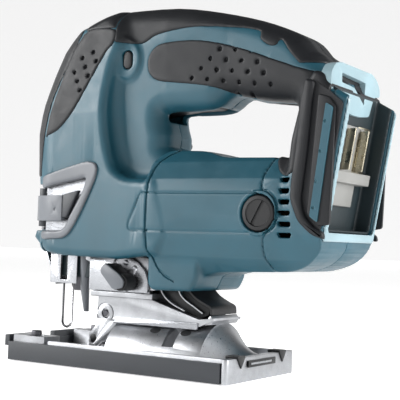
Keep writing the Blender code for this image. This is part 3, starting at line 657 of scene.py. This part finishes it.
SIDE_DOTS = lattice((55.8, 184.0), [(0, 3), (-0.06, 4), (-0.12, 5), (-0.18, 6), (3.0, 2)],
                    (10.2, -1.25), (-5.3, -5.3))
FRONT_DOTS = lattice((-29.0, 186.9), [(0, 2), (0, 3), (0, 3), (0, 3), (0, 2)], (-7.9, -3.05), (2.9, -5.7))


DOTS = {"side_pad": SIDE_DOTS, "front_pad": FRONT_DOTS}


def dotted(skin, grid, whole, dots):
    """Small round dimples in a rubber skin."""
    nearest = np.full((grid.x.size, 1, grid.z.size), 1e9, dtype=np.float32)
    for x, z in dots:
        nearest = np.minimum(nearest, np.hypot(grid.x - x, grid.z - z))
    return np.maximum(skin, -np.maximum(nearest - DOT_RADIUS, -(whole - RUBBER + DOT_DEPTH)))


def thin(piece, ratio):
    """Fewer triangles where the surface is smooth."""
    step = piece.modifiers.new("thin", "DECIMATE")
    step.ratio = ratio
    return bake(piece)


def pad_regions(grid):
    """Side distances of the three rubber areas."""
    edge = spline(GRIP_EDGE, 4, closed=False)
    grip = np.minimum(grid.side([(-14.2, 230.0), (140.0, 230.0), (140.0, 172.0)] + edge),
                      grid.side([(-40.0, 230.0), (-14.0, 230.0), (-14.0, 200.2), (-38.0, 200.2)]))
    side = np.maximum(grid.side(spline(SIDE_PAD, 4)), 4.0 - grid.y)
    return {"front_pad": np.minimum(grid.side(spline(FRONT_PAD, 4)), grid.side(NOSE_STRIP)),
            "side_pad": side, "grip": grip}


def cooling_slot(grid, i):
    """One of the slots beside the brush cap, i counts from the top."""
    z = 109.0 - 5.8 * i
    outline = [(103.5, z - 1.3), (109.0 + 0.25 * i, z - 1.3), (109.6 + 0.25 * i, z + 1.3), (102.3, z + 1.3)]
    return np.maximum(grid.side(rounded(outline, 1.0)), 20.0 - grid.y)


def shell_field(grid, whole, bay, pads):
    """Housing wall with its openings, seams and the pockets that hold the rubber."""
    brush_bore = np.maximum(grid.side(circle(BRUSH_X, BRUSH_Z, 10.2)), 18.0 - grid.y)
    case_opening = block(grid, -64.0, 17.0, -30.0, 26.4, 40.0, 72.0)
    pocket = grid.extrude(grid.side(TRIGGER_POCKET), 9.4, 0.5)
    slots = [cooling_slot(grid, i) for i in range(6)]
    shell = np.maximum(whole, rim_field(grid) + 1.5)
    for opening in (bay, pocket, grid.side(OVAL), case_opening, brush_bore, *slots):
        shell = np.maximum(shell, -opening)
    shell = groove(shell, grid.track(spline(MOTOR_SEAM, 4, closed=False)), 0.55, 1.3)
    shell = groove(shell, grid.track(spline(REAR_SEAM, 4, closed=False)), 0.45, 1.0)
    shell = groove(shell, grid.track(NAME_PANEL), 0.42, 0.8)
    for region in pads.values():
        shell = np.maximum(shell, -np.maximum(region + 0.9, -(whole + 1.4)))
    return np.maximum(shell, -(whole + WALL))


def window_field(grid):
    """Opening in the left half for the tool opener, out to the nose."""
    window = np.maximum(grid.side(rounded(BEZEL, 3.0)) + 1.4, 19.0 - grid.y)
    corner = np.maximum(grid.side([(-95.0, 79.0), (-95.0, 107.5), (-60.0, 107.5), (-60.0, 79.0)]),
                        5.0 - grid.y)
    return np.minimum(window, corner)


def make_shells(grid, shell):
    for side, sign in SIDES:
        half = np.maximum(shell, SEAM - sign * grid.s)
        if side == "left":
            half = np.maximum(half, -window_field(grid))
        piece = thin(surface(grid, half, "body"), 0.35)
        dress(smooth(piece, 40.0), "body_shell_" + side, "tool", TEAL, ("housing_" + side,))


def make_pads(grid, whole, pads):
    """Rubber skins with rounded borders, each in a left and a right piece."""
    for name, region in pads.items():
        edge = np.clip((region + 1.6) / 1.3, 0.0, 1.0)
        skin = np.maximum(whole - RUBBER + 0.6 * edge ** 2, -(whole + RUBBER_DEPTH))
        skin = np.maximum(skin, region + 0.3)
        if name in DOTS:
            skin = dotted(skin, grid, whole, DOTS[name])
        skin = np.maximum(skin, rim_field(grid) + 12.0)
        for side, sign in SIDES:
            piece = smooth(surface(grid, np.maximum(skin, SEAM - sign * grid.s), name), 50.0)
            dress(piece, f"{name}_cover_{side}", "tool", RUBBER_BLACK, (f"{name}_{side}",))


def make_rim(grid, bay):
    """Rim of the mount in a paler teal that paints the light on it, and a dark sheet that paints the shade
    inside the battery bay.
    """
    slab = rim_field(grid)
    mount = mount_field(grid)
    rim = np.maximum(np.maximum(mount, -bay), -(slab + 1.4))
    # The rim's paler teal is painted light.
    dress(smooth(surface(grid, rim, "rim"), 40.0), "battery_rim", "tool", TEAL_PAINTED_LIGHT)
    # Dark sheet just inside the bay's walls paints the shade there.
    bay_shade_sheet = np.maximum(np.maximum(bay + 0.1, -(bay + 1.9)), np.maximum(mount, slab + 2.6))
    dress(smooth(surface(grid, bay_shade_sheet, "bay_shade_sheet"), 40.0), "bay_painted_shade", "tool", TEAL_PAINTED_SHADE)


def make_bezel(grid, whole):
    """Frame that follows the curve of the nose around the opener's window."""
    hole = grid.side(rounded(BEZEL_HOLE, 2.0))
    border = grid.side(rounded(BEZEL, 4.0))
    proud = 1.5 - 0.9 * np.clip((np.maximum(border, -hole) + 1.8) / 1.6, 0.0, 1.0) ** 2
    bezel = np.maximum(np.maximum(whole - proud, -(whole + 2.2)), np.maximum(border + 0.9, -hole))
    bezel = np.maximum(bezel, grid.s + 8.0)
    dress(smooth(surface(grid, bezel, "bezel"), 50.0), "window_bezel", "tool", GREY, ("opener_bezel",))


def make_body():
    grid = Field((-84.0, -38.0, 44.0), (150.0, 38.0, 216.0), VOXEL)
    whole = body_field(grid)
    bay = bay_field(grid)
    pads = pad_regions(grid)
    make_shells(grid, shell_field(grid, whole, bay, pads))
    make_pads(grid, whole, pads)
    make_rim(grid, bay)
    make_bezel(grid, whole)


# -------------------- pieces from the CAD
def body_of(node):
    """Name of the body that a CAD node belongs to."""
    bodies = frame["record"]["behaviour"]["bodies"]
    return next(name for name, nodes in bodies.items() if node in nodes)


def refined(node, material, width=0.35, segments=2, angle=35.0):
    """The CAD shape with softened edges and its own finish."""
    piece = bevel(copy_of(node), width, segments, angle)
    return dress(smooth(piece, 40.0), node + "_fine", body_of(node), material, (node,))


def refine_all(material, *pieces):
    """Several CAD nodes in one material; each is (node, edge width, ...)."""
    for node, *settings in pieces:
        refined(node, material, *settings)


def turned(profile, x, z, side, count=48):
    """Closed solid turned about an axis along y; profile is (radius, distance from the middle)."""
    rings = []
    for i in range(count):
        angle = 2 * math.pi * i / count
        rings.append([(x + r * math.cos(angle), side * y, z + r * math.sin(angle)) for r, y in profile])
    bm = bmesh.new()
    made = [[bm.verts.new(p) for p in ring] for ring in rings]
    for i in range(count):
        low, high = made[i], made[(i + 1) % count]
        for k in range(len(profile) - 1):
            bm.faces.new((low[k], low[k + 1], high[k + 1], high[k]))
    bmesh.ops.remove_doubles(bm, verts=bm.verts, dist=0.0005)
    return from_bmesh(bm)


def recess(radius, depth, reach, x, z, side, count=48):
    """Round tool that cuts from the outside in to a depth."""
    return turned([(0.0, depth), (radius, depth), (radius, reach), (0.0, reach)], x, z, side, count)


def inset(outline, distance):
    """Closed outline moved inwards; works for either direction of travel."""
    area = sum(a[0] * b[1] - b[0] * a[1] for a, b in zip(outline, outline[1:] + outline[:1]))
    sign = 1.0 if area > 0 else -1.0
    result = []
    count = len(outline)
    for i in range(count):
        here, before, after = (Vector(outline[(i + k) % count]) for k in (0, -1, 1))
        first, second = (here - before).normalized(), (after - here).normalized()
        n1, n2 = Vector((-first.y, first.x)) * sign, Vector((-second.y, second.x)) * sign
        mean = n1 + n2
        mean = mean * (1.0 / max(mean.dot(n1), 0.35))
        result.append(tuple(here + mean * distance))
    return result


def pillow(outline, y0, y1, drop=0.8, side=-1.0):
    """Side outline with a rounded outer face."""
    steps = [(0.0, y0), (0.0, y1 - drop), (0.3 * drop, y1 - 0.3 * drop), (drop, y1)]
    rings = [[(x, side * y, z) for x, z in inset(outline, d)] for d, y in steps]
    return loft(rings)


# -------------------- rear mount
BUMPER = [(118.4, 161.6), (115.6, 150), (113.8, 126), (111.4, 106.1), (111.2, 98.3), (115.8, 87.4),
          (124, 80.4), (131, 78.4)]


ROLL_INNER = [(130.4, 82), (125.6, 84.2), (119.6, 90.4), (117.6, 98.4), (118.4, 106), (120.6, 126),
              (122.4, 150), (123.4, 159.5)]
STRIP = [(122.9, 90), (127.3, 87), (134.4, 145.6), (130.3, 148)]
STRIP_HOLES = ((130.3, 138.5), (128.1, 123.3), (126.1, 107.9), (124.9, 94.5))


def make_bumper(name, side):
    """Rubber base, the thick roll along its front edge and the flat field behind the roll."""
    back = [(rim_x(z) - 2.6, z) for z in (80.0, 148.0)]
    outline = rounded(BUMPER + back + [(131.5, 154.0), (125.0, 158.5)], 1.5)
    base = side_prism(outline, side * 33.0, side * 35.0)
    roll = pillow(rounded(BUMPER + ROLL_INNER, 3.0), 34.0, 37.4, 1.5, side)
    dress(smooth(roll, 45.0), "bumper_roll_" + name, "tool", RUBBER_BLACK, ())
    field = rounded([(121.0, 91.0), (127.5, 85.0), (133.6, 86.0), (rim_x(146.0) - 5.6, 146.0),
                     (132.0, 151.0), (125.6, 153.0)], 1.5)
    field = pillow(field, 34.0, 36.2, 0.6, side)
    dress(smooth(field, 60.0), "bumper_flat_" + name, "tool", RUBBER_BLACK, ())
    dress(smooth(base, 35.0), "bumper_cover_" + name, "tool", RUBBER_BLACK, ("bumper_" + name,))


def make_bumpers():
    for name, side in SIDES:
        make_bumper(name, side)
        plate = side_prism(rounded(STRIP, 1.0), side * 36.0, side * 36.9)
        for x, z in STRIP_HOLES:
            cut(plate, recess(0.95, 36.3, 38.0, x, z, side, 16))
        dress(smooth(plate, 35.0), "bumper_strip_" + name, "tool", TEAL)


def make_bridge():
    """Frame with the latch recess between the two arms of the mount; its paler teal paints light on it, and a
    black plate behind the recess paints the recess's shade.
    """
    outer = [(-30.5, 150.0), (-32.8, 160.0), (-32.0, 165.0), (-27.5, 169.6), (-21.0, 171.4), (21.0, 171.4),
             (27.5, 169.0), (32.0, 165.0), (32.8, 160.0), (24.0, 158.5), (17.5, 147.0), (5.0, 145.4),
             (-5.0, 145.4), (-17.5, 147.0), (-24.0, 155.0)]
    latch = [(-19.0, 161.0), (-19.0, 166.0), (12.0, 165.0), (10.5, 152.5), (-3.0, 160.4)]
    behind = [(-19.6, 160.4), (-19.6, 166.6), (12.6, 165.6), (11.1, 151.9), (-3.0, 159.8)]
    piece = front_prism(rounded(outer, 2.0), 125.0, 131.0)
    cut(piece, front_prism(rounded(latch, 0.8), 127.0, 140.0))
    # The bridge's paler teal is painted light.
    dress(smooth(bevel(piece, 0.8, 3), 40.0), "mount_bridge", "tool", TEAL_PAINTED_LIGHT)
    # Black plate behind the latch recess paints the shade in it.
    dress(front_prism(rounded(behind, 0.8), 126.6, 127.4), "latch_painted_shade", "tool", BLACK)


def make_terminals():
    refine_all(WHITE, ("terminal_block", 0.4))
    refine_all(BRASS, ("terminal_positive", 0.2), ("terminal_negative", 0.2))
    plate = front_prism([(6.0, 114.0), (22.0, 114.0), (22.0, 140.5), (6.0, 140.5)], 122.0, 123.0)
    for vertex in plate.data.vertices:
        vertex.co.x += MOUNT_LEAN * (vertex.co.z - RIM_Z * MM)
    dress(smooth(bevel(plate, 0.3)), "contact_plate", "tool", BRASS)


def make_brush_caps():
    """Round caps with a slanted screwdriver slot."""
    profile = [(0.0, 29.0), (9.7, 29.0), (9.7, 33.0), (9.1, 33.7), (7.4, 33.9), (7.0, 33.4), (0.0, 33.3)]
    for name, side in SIDES:
        cap = turned(profile, BRUSH_X, BRUSH_Z, side)
        slot = box(-7.0, 7.0, -1.3, 1.3, -1.3, 1.3)
        slot.matrix_world = (Matrix.Translation((BRUSH_X * MM, side * 34.0 * MM, BRUSH_Z * MM))
                             @ Matrix.Rotation(math.radians(-62.0), 4, "Y"))
        cut(cap, slot)
        dress(smooth(cap, 35.0), "brush_cover_" + name, "tool", BLACK, ("brush_cap_" + name,))


# -------------------- nose
def make_opener():
    """Lever around its pin: a pale block at the nose with a darker wedge behind it."""
    plan = [(-72.6, -15.5), (-72.8, -18.5), (-70.5, -23.0), (-64.0, -28.2), (-55.0, -31.3), (-44.0, -32.0),
            (-44.0, -28.6), (-54.0, -27.6), (-62.0, -24.6), (-66.5, -20.0), (-68.0, -15.5)]
    lever = plan_prism(plan, 84.9, 100.2)
    cut(lever, recess(1.0, 31.2, 36.0, -49.5, 92.0, -1.0, 16))
    bevel(lever, 1.1, 3, 40.0)
    tube = plan_prism(circle(TUBE_X, TUBE_Y, 3.6, 32), 81.5, 105.0)
    cut(tube, plan_prism(circle(TUBE_X, TUBE_Y, 1.9, 24), 80.0, 107.0))
    dress(smooth(lever, 40.0), "opener_lever", "opener", GREY, ("tool_opener",))
    dress(smooth(bevel(tube, 0.4), 40.0), "opener_tube", "opener", GREY_DARK)
    wedge = side_prism([(-44.6, 86.6), (-44.6, 100.6), (-32.2, 103.4), (-40.6, 87.4)], -31.6, -28.4)
    dress(smooth(bevel(wedge, 0.6, 3, 30.0), 40.0), "opener_wedge", "opener", GREY_DARK)
    refined("opener_pin", STEEL, 0.3)
    liner = plan_prism([(-62.0, -24.6), (-56.0, -26.2), (-20.0, -26.2), (-20.0, -25.7), (-56.0, -25.7),
                        (-62.0, -24.1)], 74.0, 119.0)
    dress(liner, "window_liner", "tool", SHEET)


def make_selector_plate():
    """Sheet behind the selector with three dimples and a round recess."""
    dimple = [(0.0, 18.3), (0.9, 18.4), (1.5, 18.8), (1.9, 19.3), (1.9, 21.0), (0.0, 21.0)]
    plate = side_prism(rounded([(-30.6, 66.8), (-30.6, 44.4), (12.3, 44.4), (12.3, 51.4), (9.9, 57.1),
                                (4.7, 62.1), (-2.7, 65.6), (-12.3, 66.8)], 1.2), -19.6, -18.0)
    bevel(plate, 0.25)
    for x, z in ((-11.0, 61.4), (-3.5, 61.4), (2.8, 58.3)):
        cut(plate, turned(dimple, x, z, -1.0, 24))
    cut(plate, recess(7.0, 18.6, 21.0, SELECTOR_X + 1.5, SELECTOR_Z + 0.5, -1.0, 40))
    dress(smooth(plate, 35.0), "selector_face", "tool", SHEET, ("selector_plate",))


def make_selector():
    """Lever on a round hub, with a grey face."""
    make_selector_plate()
    x, z = SELECTOR_X, SELECTOR_Z
    arm = rounded([(x + 3.8, z - 3.4), (x + 4.8, z + 1.2), (x + 1.2, z + 4.8), (x - 9.4, z + 11.0),
                   (x - 12.2, z + 8.8), (x - 13.0, z + 5.4), (x - 3.2, z - 4.7)], 2.0)
    core = side_prism(arm, -30.3, -19.8)
    hub = turned([(0.0, 19.9), (5.0, 19.9), (5.0, 29.2), (4.6, 29.6), (0.0, 29.6)], x + 0.6, z, -1.0, 40)
    dress(smooth(hub, 35.0), "selector_hub", "selector", BLACK)
    dress(smooth(bevel(core, 0.4), 35.0), "selector_knob", "selector", BLACK, ("orbit_selector",))
    face = pillow(inset(arm, 0.25), 30.2, 31.3, 0.4, -1.0)
    dress(smooth(face, 35.0), "selector_cap", "selector", GREY)


def make_gear_case():
    """Visible lower part only: the inner case would stand through the slim handle."""
    case = copy_of("gear_housing")
    above = box(-90.0, 60.0, -60.0, 60.0, 108.0, 200.0)
    behind = box(-18.0, 20.0, -60.0, 60.0, 72.0, 120.0)
    duct = side_prism([(60.0, 33.0), (45.5, 31.2), (29.3, 35.6), (12.0, 40.6), (12.0, 46.0), (60.0, 46.0)],
                      -30.0, 30.0)
    cut(case, above, behind, duct, solver="EXACT")
    # Round boss and bolt recess at the roller arm's pivot
    boss = [(5.6, 14.7), (6.3, 14.7), (6.3, 16.5), (5.6, 16.5), (5.6, 14.7)]
    for side in (-1.0, 1.0):
        cut(case, turned(boss, EAR_X, EAR_Z, side), recess(2.7, 14.3, 16.5, EAR_X, EAR_Z, side, 32),
            solver="EXACT")
    bevel(case, 0.4, 2, 40.0)
    dress(smooth(case, 40.0), "gear_case", "tool", CAST, ("gear_housing",))


def make_foot():
    """Flanges and pivot bolts on the foot, and the step between neck and foot."""
    edge = rounded([(-14.0, 25.3), (44.8, 25.3), (45.6, 29.2), (-12.0, 28.9)], 0.5)
    bolt = [(0.0, 13.6), (2.0, 13.6), (2.0, 15.1), (1.6, 15.5), (0.0, 15.5)]
    for name, side in SIDES:
        flange = pillow(edge, 15.0, 16.5, 0.4, side)
        dress(smooth(flange, 35.0), "foot_flange_" + name, "tool", SHEET)
        head = turned(bolt, EAR_X, EAR_Z, side, 24)
        dress(smooth(head, 20.0), "pivot_bolt_" + name, "tool", DARK_STEEL)
    step = side_prism(rounded([(-30.5, 40.6), (14.5, 40.6), (14.5, 44.0), (-30.5, 44.0)], 0.6), -17.9, 17.9)
    dress(smooth(bevel(step, 0.5, 3), 35.0), "neck_step", "tool", CAST)


def plate_along(path, thickness, half):
    """Bent sheet that follows an open side path."""
    left, right = [], []
    for i, point in enumerate(path):
        here = Vector(point)
        travel = (Vector(path[min(i + 1, len(path) - 1)]) - Vector(path[max(i - 1, 0)])).normalized()
        across = Vector((-travel.y, travel.x)) * thickness / 2
        left.append(tuple(here + across))
        right.append(tuple(here - across))
    return side_prism(left + right[::-1], -half, half)


def make_duct():
    """Dust duct behind the foot: black pieces that paint the shade in the channel, with pale curved ribs."""
    # Black core paints the shade in the channel.
    core = side_prism([(13.5, 47.5), (36.0, 47.5), (40.0, 43.6), (46.6, 40.0), (50.0, 37.6), (49.0, 33.6),
                       (44.0, 31.6), (29.3, 36.0), (13.5, 40.4)], -10.5, 10.5)
    dress(smooth(bevel(core, 0.5)), "duct_core_painted_shade", "tool", BLACK)
    ribs = {"inner": [(16.8, 47.4), (19.4, 43.6), (22.8, 40.6), (27.4, 38.0), (34.5, 35.2)],
            "middle": [(29.6, 47.4), (31.6, 44.0), (35.2, 41.0), (40.0, 38.4), (46.6, 34.6)]}
    for name, path in ribs.items():
        rib = plate_along(spline(path, 4, closed=False), 0.9, 13.4)
        dress(smooth(bevel(rib, 0.2), 35.0), "duct_rib_" + name, "tool", CAST)
    # Black outer wall paints shade as well.
    wall = [(37.0, 48.2), (38.2, 46.2), (42.0, 43.0), (47.9, 40.0), (52.0, 38.0), (52.6, 34.0)]
    outer = plate_along(spline(wall, 4, closed=False), 1.4, 13.8)
    dress(smooth(bevel(outer, 0.3), 35.0), "duct_wall_painted_shade", "tool", BLACK)
    bracket = side_prism(rounded([(44.6, 28.0), (53.0, 28.6), (54.6, 31.6), (52.6, 34.0), (50.6, 31.2),
                                  (46.0, 31.4)], 0.6), -14.6, 14.6)
    dress(smooth(bevel(bracket, 0.4), 35.0), "duct_bracket", "tool", CAST)


# Cheek of the roller arm, an elbow down to the roller's pin
ELBOW = [(-28.4, 27), (-17.5, 27), (-21.5, 19.5), (-24.5, 14.5), (-28, 12), (-37, 12),
         (-38.4, 14.2), (-35.4, 18.4), (-30.2, 20.5)]


def make_nose_sheets(name, side):
    """Bent sheet beside the blade with a window in it, and the small tab behind it."""
    inner, outer = sorted((side * 13.8, side * 15.0))
    wing = plan_prism([(-68.0, side * 10.5), (-65.0, side * 15.0), (-44.2, side * 15.0),
                       (-44.2, side * 13.8), (-64.4, side * 13.8), (-67.2, side * 9.8)], 47.0, 67.0)
    cut(wing, box(-57.0, -51.6, inner - 2.0, outer + 2.0, 49.0, 64.0))
    dress(smooth(bevel(wing, 0.2), 35.0), "nose_wing_" + name, "tool", SHEET)
    tab = rounded([(-37.6, 67.0), (-33.8, 67.0), (-33.8, 60.6), (-37.6, 62.2)], 0.5)
    dress(smooth(bevel(side_prism(tab, inner, outer), 0.2), 35.0), "nose_tab_" + name, "tool", CAST)


def make_arm_cheek(name, side):
    low, high = sorted((side * 5.6, side * 6.9))
    cheek = side_prism(rounded(ELBOW, 1.2), low, high)
    dress(smooth(bevel(cheek, 0.4), 35.0), "arm_cheek_" + name, "roller_arm", CAST)
    end = turned([(0.0, 5.0), (2.6, 5.0), (2.6, 6.9), (2.3, 7.1), (0.0, 7.1)], -35.6, 14.2, side, 28)
    dress(smooth(end, 35.0), "pin_end_" + name, "roller_arm", BLACK)


def make_nose_parts():
    refine_all(SHEET, ("front_deflector", 0.25))
    refine_all(STEEL, ("wire_guard", 0.05, 1, 60.0))
    refine_all(DARK_STEEL, ("blade_clamp", 0.4))
    refine_all(STEEL, ("plunger_rod", 0.3))
    refine_all(GREY, ("blower_nozzle", 0.2))
    refine_all(CAST, ("roller_arm", 0.6))
    refine_all(STEEL, ("roller", 0.5), ("roller_pin", 0.3), ("arm_pivot_pin", 0.3))
    for name, side in SIDES:
        make_nose_sheets(name, side)
        make_arm_cheek(name, side)
    # Dark teal block behind the nose sheets paints the shade there.
    nose_shade_block = box(-58.0, -33.0, -12.6, 12.6, 51.0, 66.8)
    cut(nose_shade_block, box(-60.0, -44.0, -9.0, 9.0, 40.0, 70.0))
    dress(smooth(bevel(nose_shade_block, 0.5), 35.0), "nose_painted_shade", "tool", TEAL_PAINTED_SHADE)


def make_rear_edge():
    """Black wedges in the V notches of the plate, and a black sheet between them that paints the shade in the
    recess there.
    """
    for name, side in SIDES:
        y = side * 24.0
        wedge = front_prism([(y - 3.9, 14.3), (y - 3.9, 13.1), (y, 7.5), (y + 3.9, 13.1), (y + 3.9, 14.3)],
                            71.0, 79.2)
        dress(smooth(bevel(wedge, 0.3), 35.0), "notch_wedge_" + name, "shoe", BLACK)
    # Black sheet at the back of the recess paints its shade.
    inside = box(79.0, 79.75, -17.0, 14.0, 7.6, 11.4)
    dress(smooth(bevel(inside, 0.2), 35.0), "rear_recess_painted_shade", "shoe", BLACK)
    bar = box(79.0, 79.95, -14.5, 9.0, 9.0, 10.1)
    dress(smooth(bevel(bar, 0.1), 35.0), "rear_slot_bar", "shoe", SHEET)


def make_flare():
    """The ridge runs out to the back of the plate in a concave flare."""
    steps = 12
    rings = []
    for i in range(steps + 1):
        t = i / steps
        radius = 26.9 - 15.9 * math.sin(t * math.pi / 2)
        rings.append([(52.6 + 24.1 * t, y, z) for y, z in arc(0.0, 2.4, radius, 8.0, 164.0, 32)])
    dress(smooth(loft(rings), 60.0), "ridge_flare", "shoe", CAST)


def make_dents():
    """Oval detents along the ridge, under the foot: thin black discs that paint the shade in their hollows.
    """
    rise = math.radians(52.0)
    for i, x in enumerate((17.0, 38.0)):
        for name, side in SIDES:
            dent = turned([(0.0, -0.4), (2.2, -0.4), (2.5, 0.05), (0.0, 0.05)], 0.0, 0.0, 1.0, 24)
            dent.data.transform(Matrix.Diagonal((1.4, 1.0, 1.0, 1.0)))
            dent.data.transform(Matrix.Rotation(rise if side > 0 else math.pi - rise, 4, "X"))
            dent.data.transform(Matrix.Translation((x * MM, side * RIDGE_R * math.cos(rise) * MM,
                                                    (TILT_Z + RIDGE_R * math.sin(rise)) * MM)))
            dress(smooth(dent, 40.0), f"ridge_dent_{i}_{name}", "shoe", BLACK)


def make_shoe():
    refine_all(CAST, ("base_plate", 0.6, 3))
    refine_all(GREY_DARK, ("base_cover", 0.9, 3))
    refine_all(DARK_STEEL, ("fence_bolt_left", 0.4), ("fence_bolt_right", 0.4), ("tilt_bolt", 0.3))
    make_rear_edge()
    make_flare()
    make_dents()


def make_controls():
    refine_all(BLACK, ("trigger", 1.2, 3), ("lock_off_button", 0.9, 3))
    for i in range(4):
        refined(f"housing_screw_{i + 1}", DARK_STEEL, 0.2)


# -------------------- light and floor
def add_area(name, place, target, size, power):
    """White soft box that looks at a target."""
    data = bpy.data.lights.new(name, "AREA")
    data.shape = "RECTANGLE"
    data.size, data.size_y = size
    data.energy = power
    lamp = link(data, name)
    lamp.location = place
    lamp.rotation_euler = (Vector(target) - Vector(place)).to_track_quat("-Z", "Y").to_euler()


def add_paper(name, points, faces, grey, roughness, glow):
    """Stage surface of pale paper with a faint glow of its own."""
    paper = bpy.data.materials.new(name)
    paper.use_nodes = True
    shader = paper.node_tree.nodes["Principled BSDF"]
    set_inputs(shader, Base_Color=(grey, grey, grey, 1.0), Roughness=roughness,
               Emission_Color=(1.0, 1.0, 1.0, 1.0), Emission_Strength=glow)
    mesh = bpy.data.meshes.new(name)
    mesh.from_pydata(points, [], faces)
    sheet = link(mesh, name)
    sheet.data.materials.append(paper)


def add_stage():
    """Pale floor, a low pale ring around it for the horizon, and three soft boxes (metres, watts)."""
    reach, radius, height, count = 8, 6, 3.4, 48
    corners = [(-reach, -reach), (reach, -reach), (reach, reach), (-reach, reach)]
    add_paper("studio_floor", [(x, y, FLOOR_Z) for x, y in corners], [(0, 1, 2, 3)], 0.95, 0.9, 0.6)
    turns = [2 * math.pi * i / count for i in range(count)]
    points = [(radius * math.cos(a), radius * math.sin(a), z) for z in (FLOOR_Z, height) for a in turns]
    faces = [(i, (i + 1) % count, (i + 1) % count + count, i + count) for i in range(count)]
    add_paper("studio_backdrop", points, faces, 0.2, 0.5, 0.75)
    world = bpy.data.worlds.new("studio")
    world.use_nodes = True
    set_inputs(world.node_tree.nodes["Background"], Color=(1.0, 1.0, 1.0, 1.0), Strength=0.12)
    bpy.context.scene.world = world
    bpy.context.scene.view_settings.view_transform = "Standard"
    add_area("key", (-0.72, -0.52, 0.42), (-0.06, 0.0, 0.13), (0.35, 0.5), 9.5)
    add_area("back", (0.85, 0.20, 0.40), (0.12, 0.0, 0.12), (0.4, 0.6), 8.5)
    add_area("front", (0.25, -1.10, 0.60), (0.03, 0.0, 0.10), (0.8, 0.6), 0.5)


# -------------------- scene
add_camera()
dress_cad_nodes()
make_body()
make_bumpers()
make_bridge()
make_terminals()
make_brush_caps()
make_opener()
make_selector()
make_gear_case()
make_foot()
make_duct()
make_nose_parts()
make_shoe()
make_controls()
add_stage()
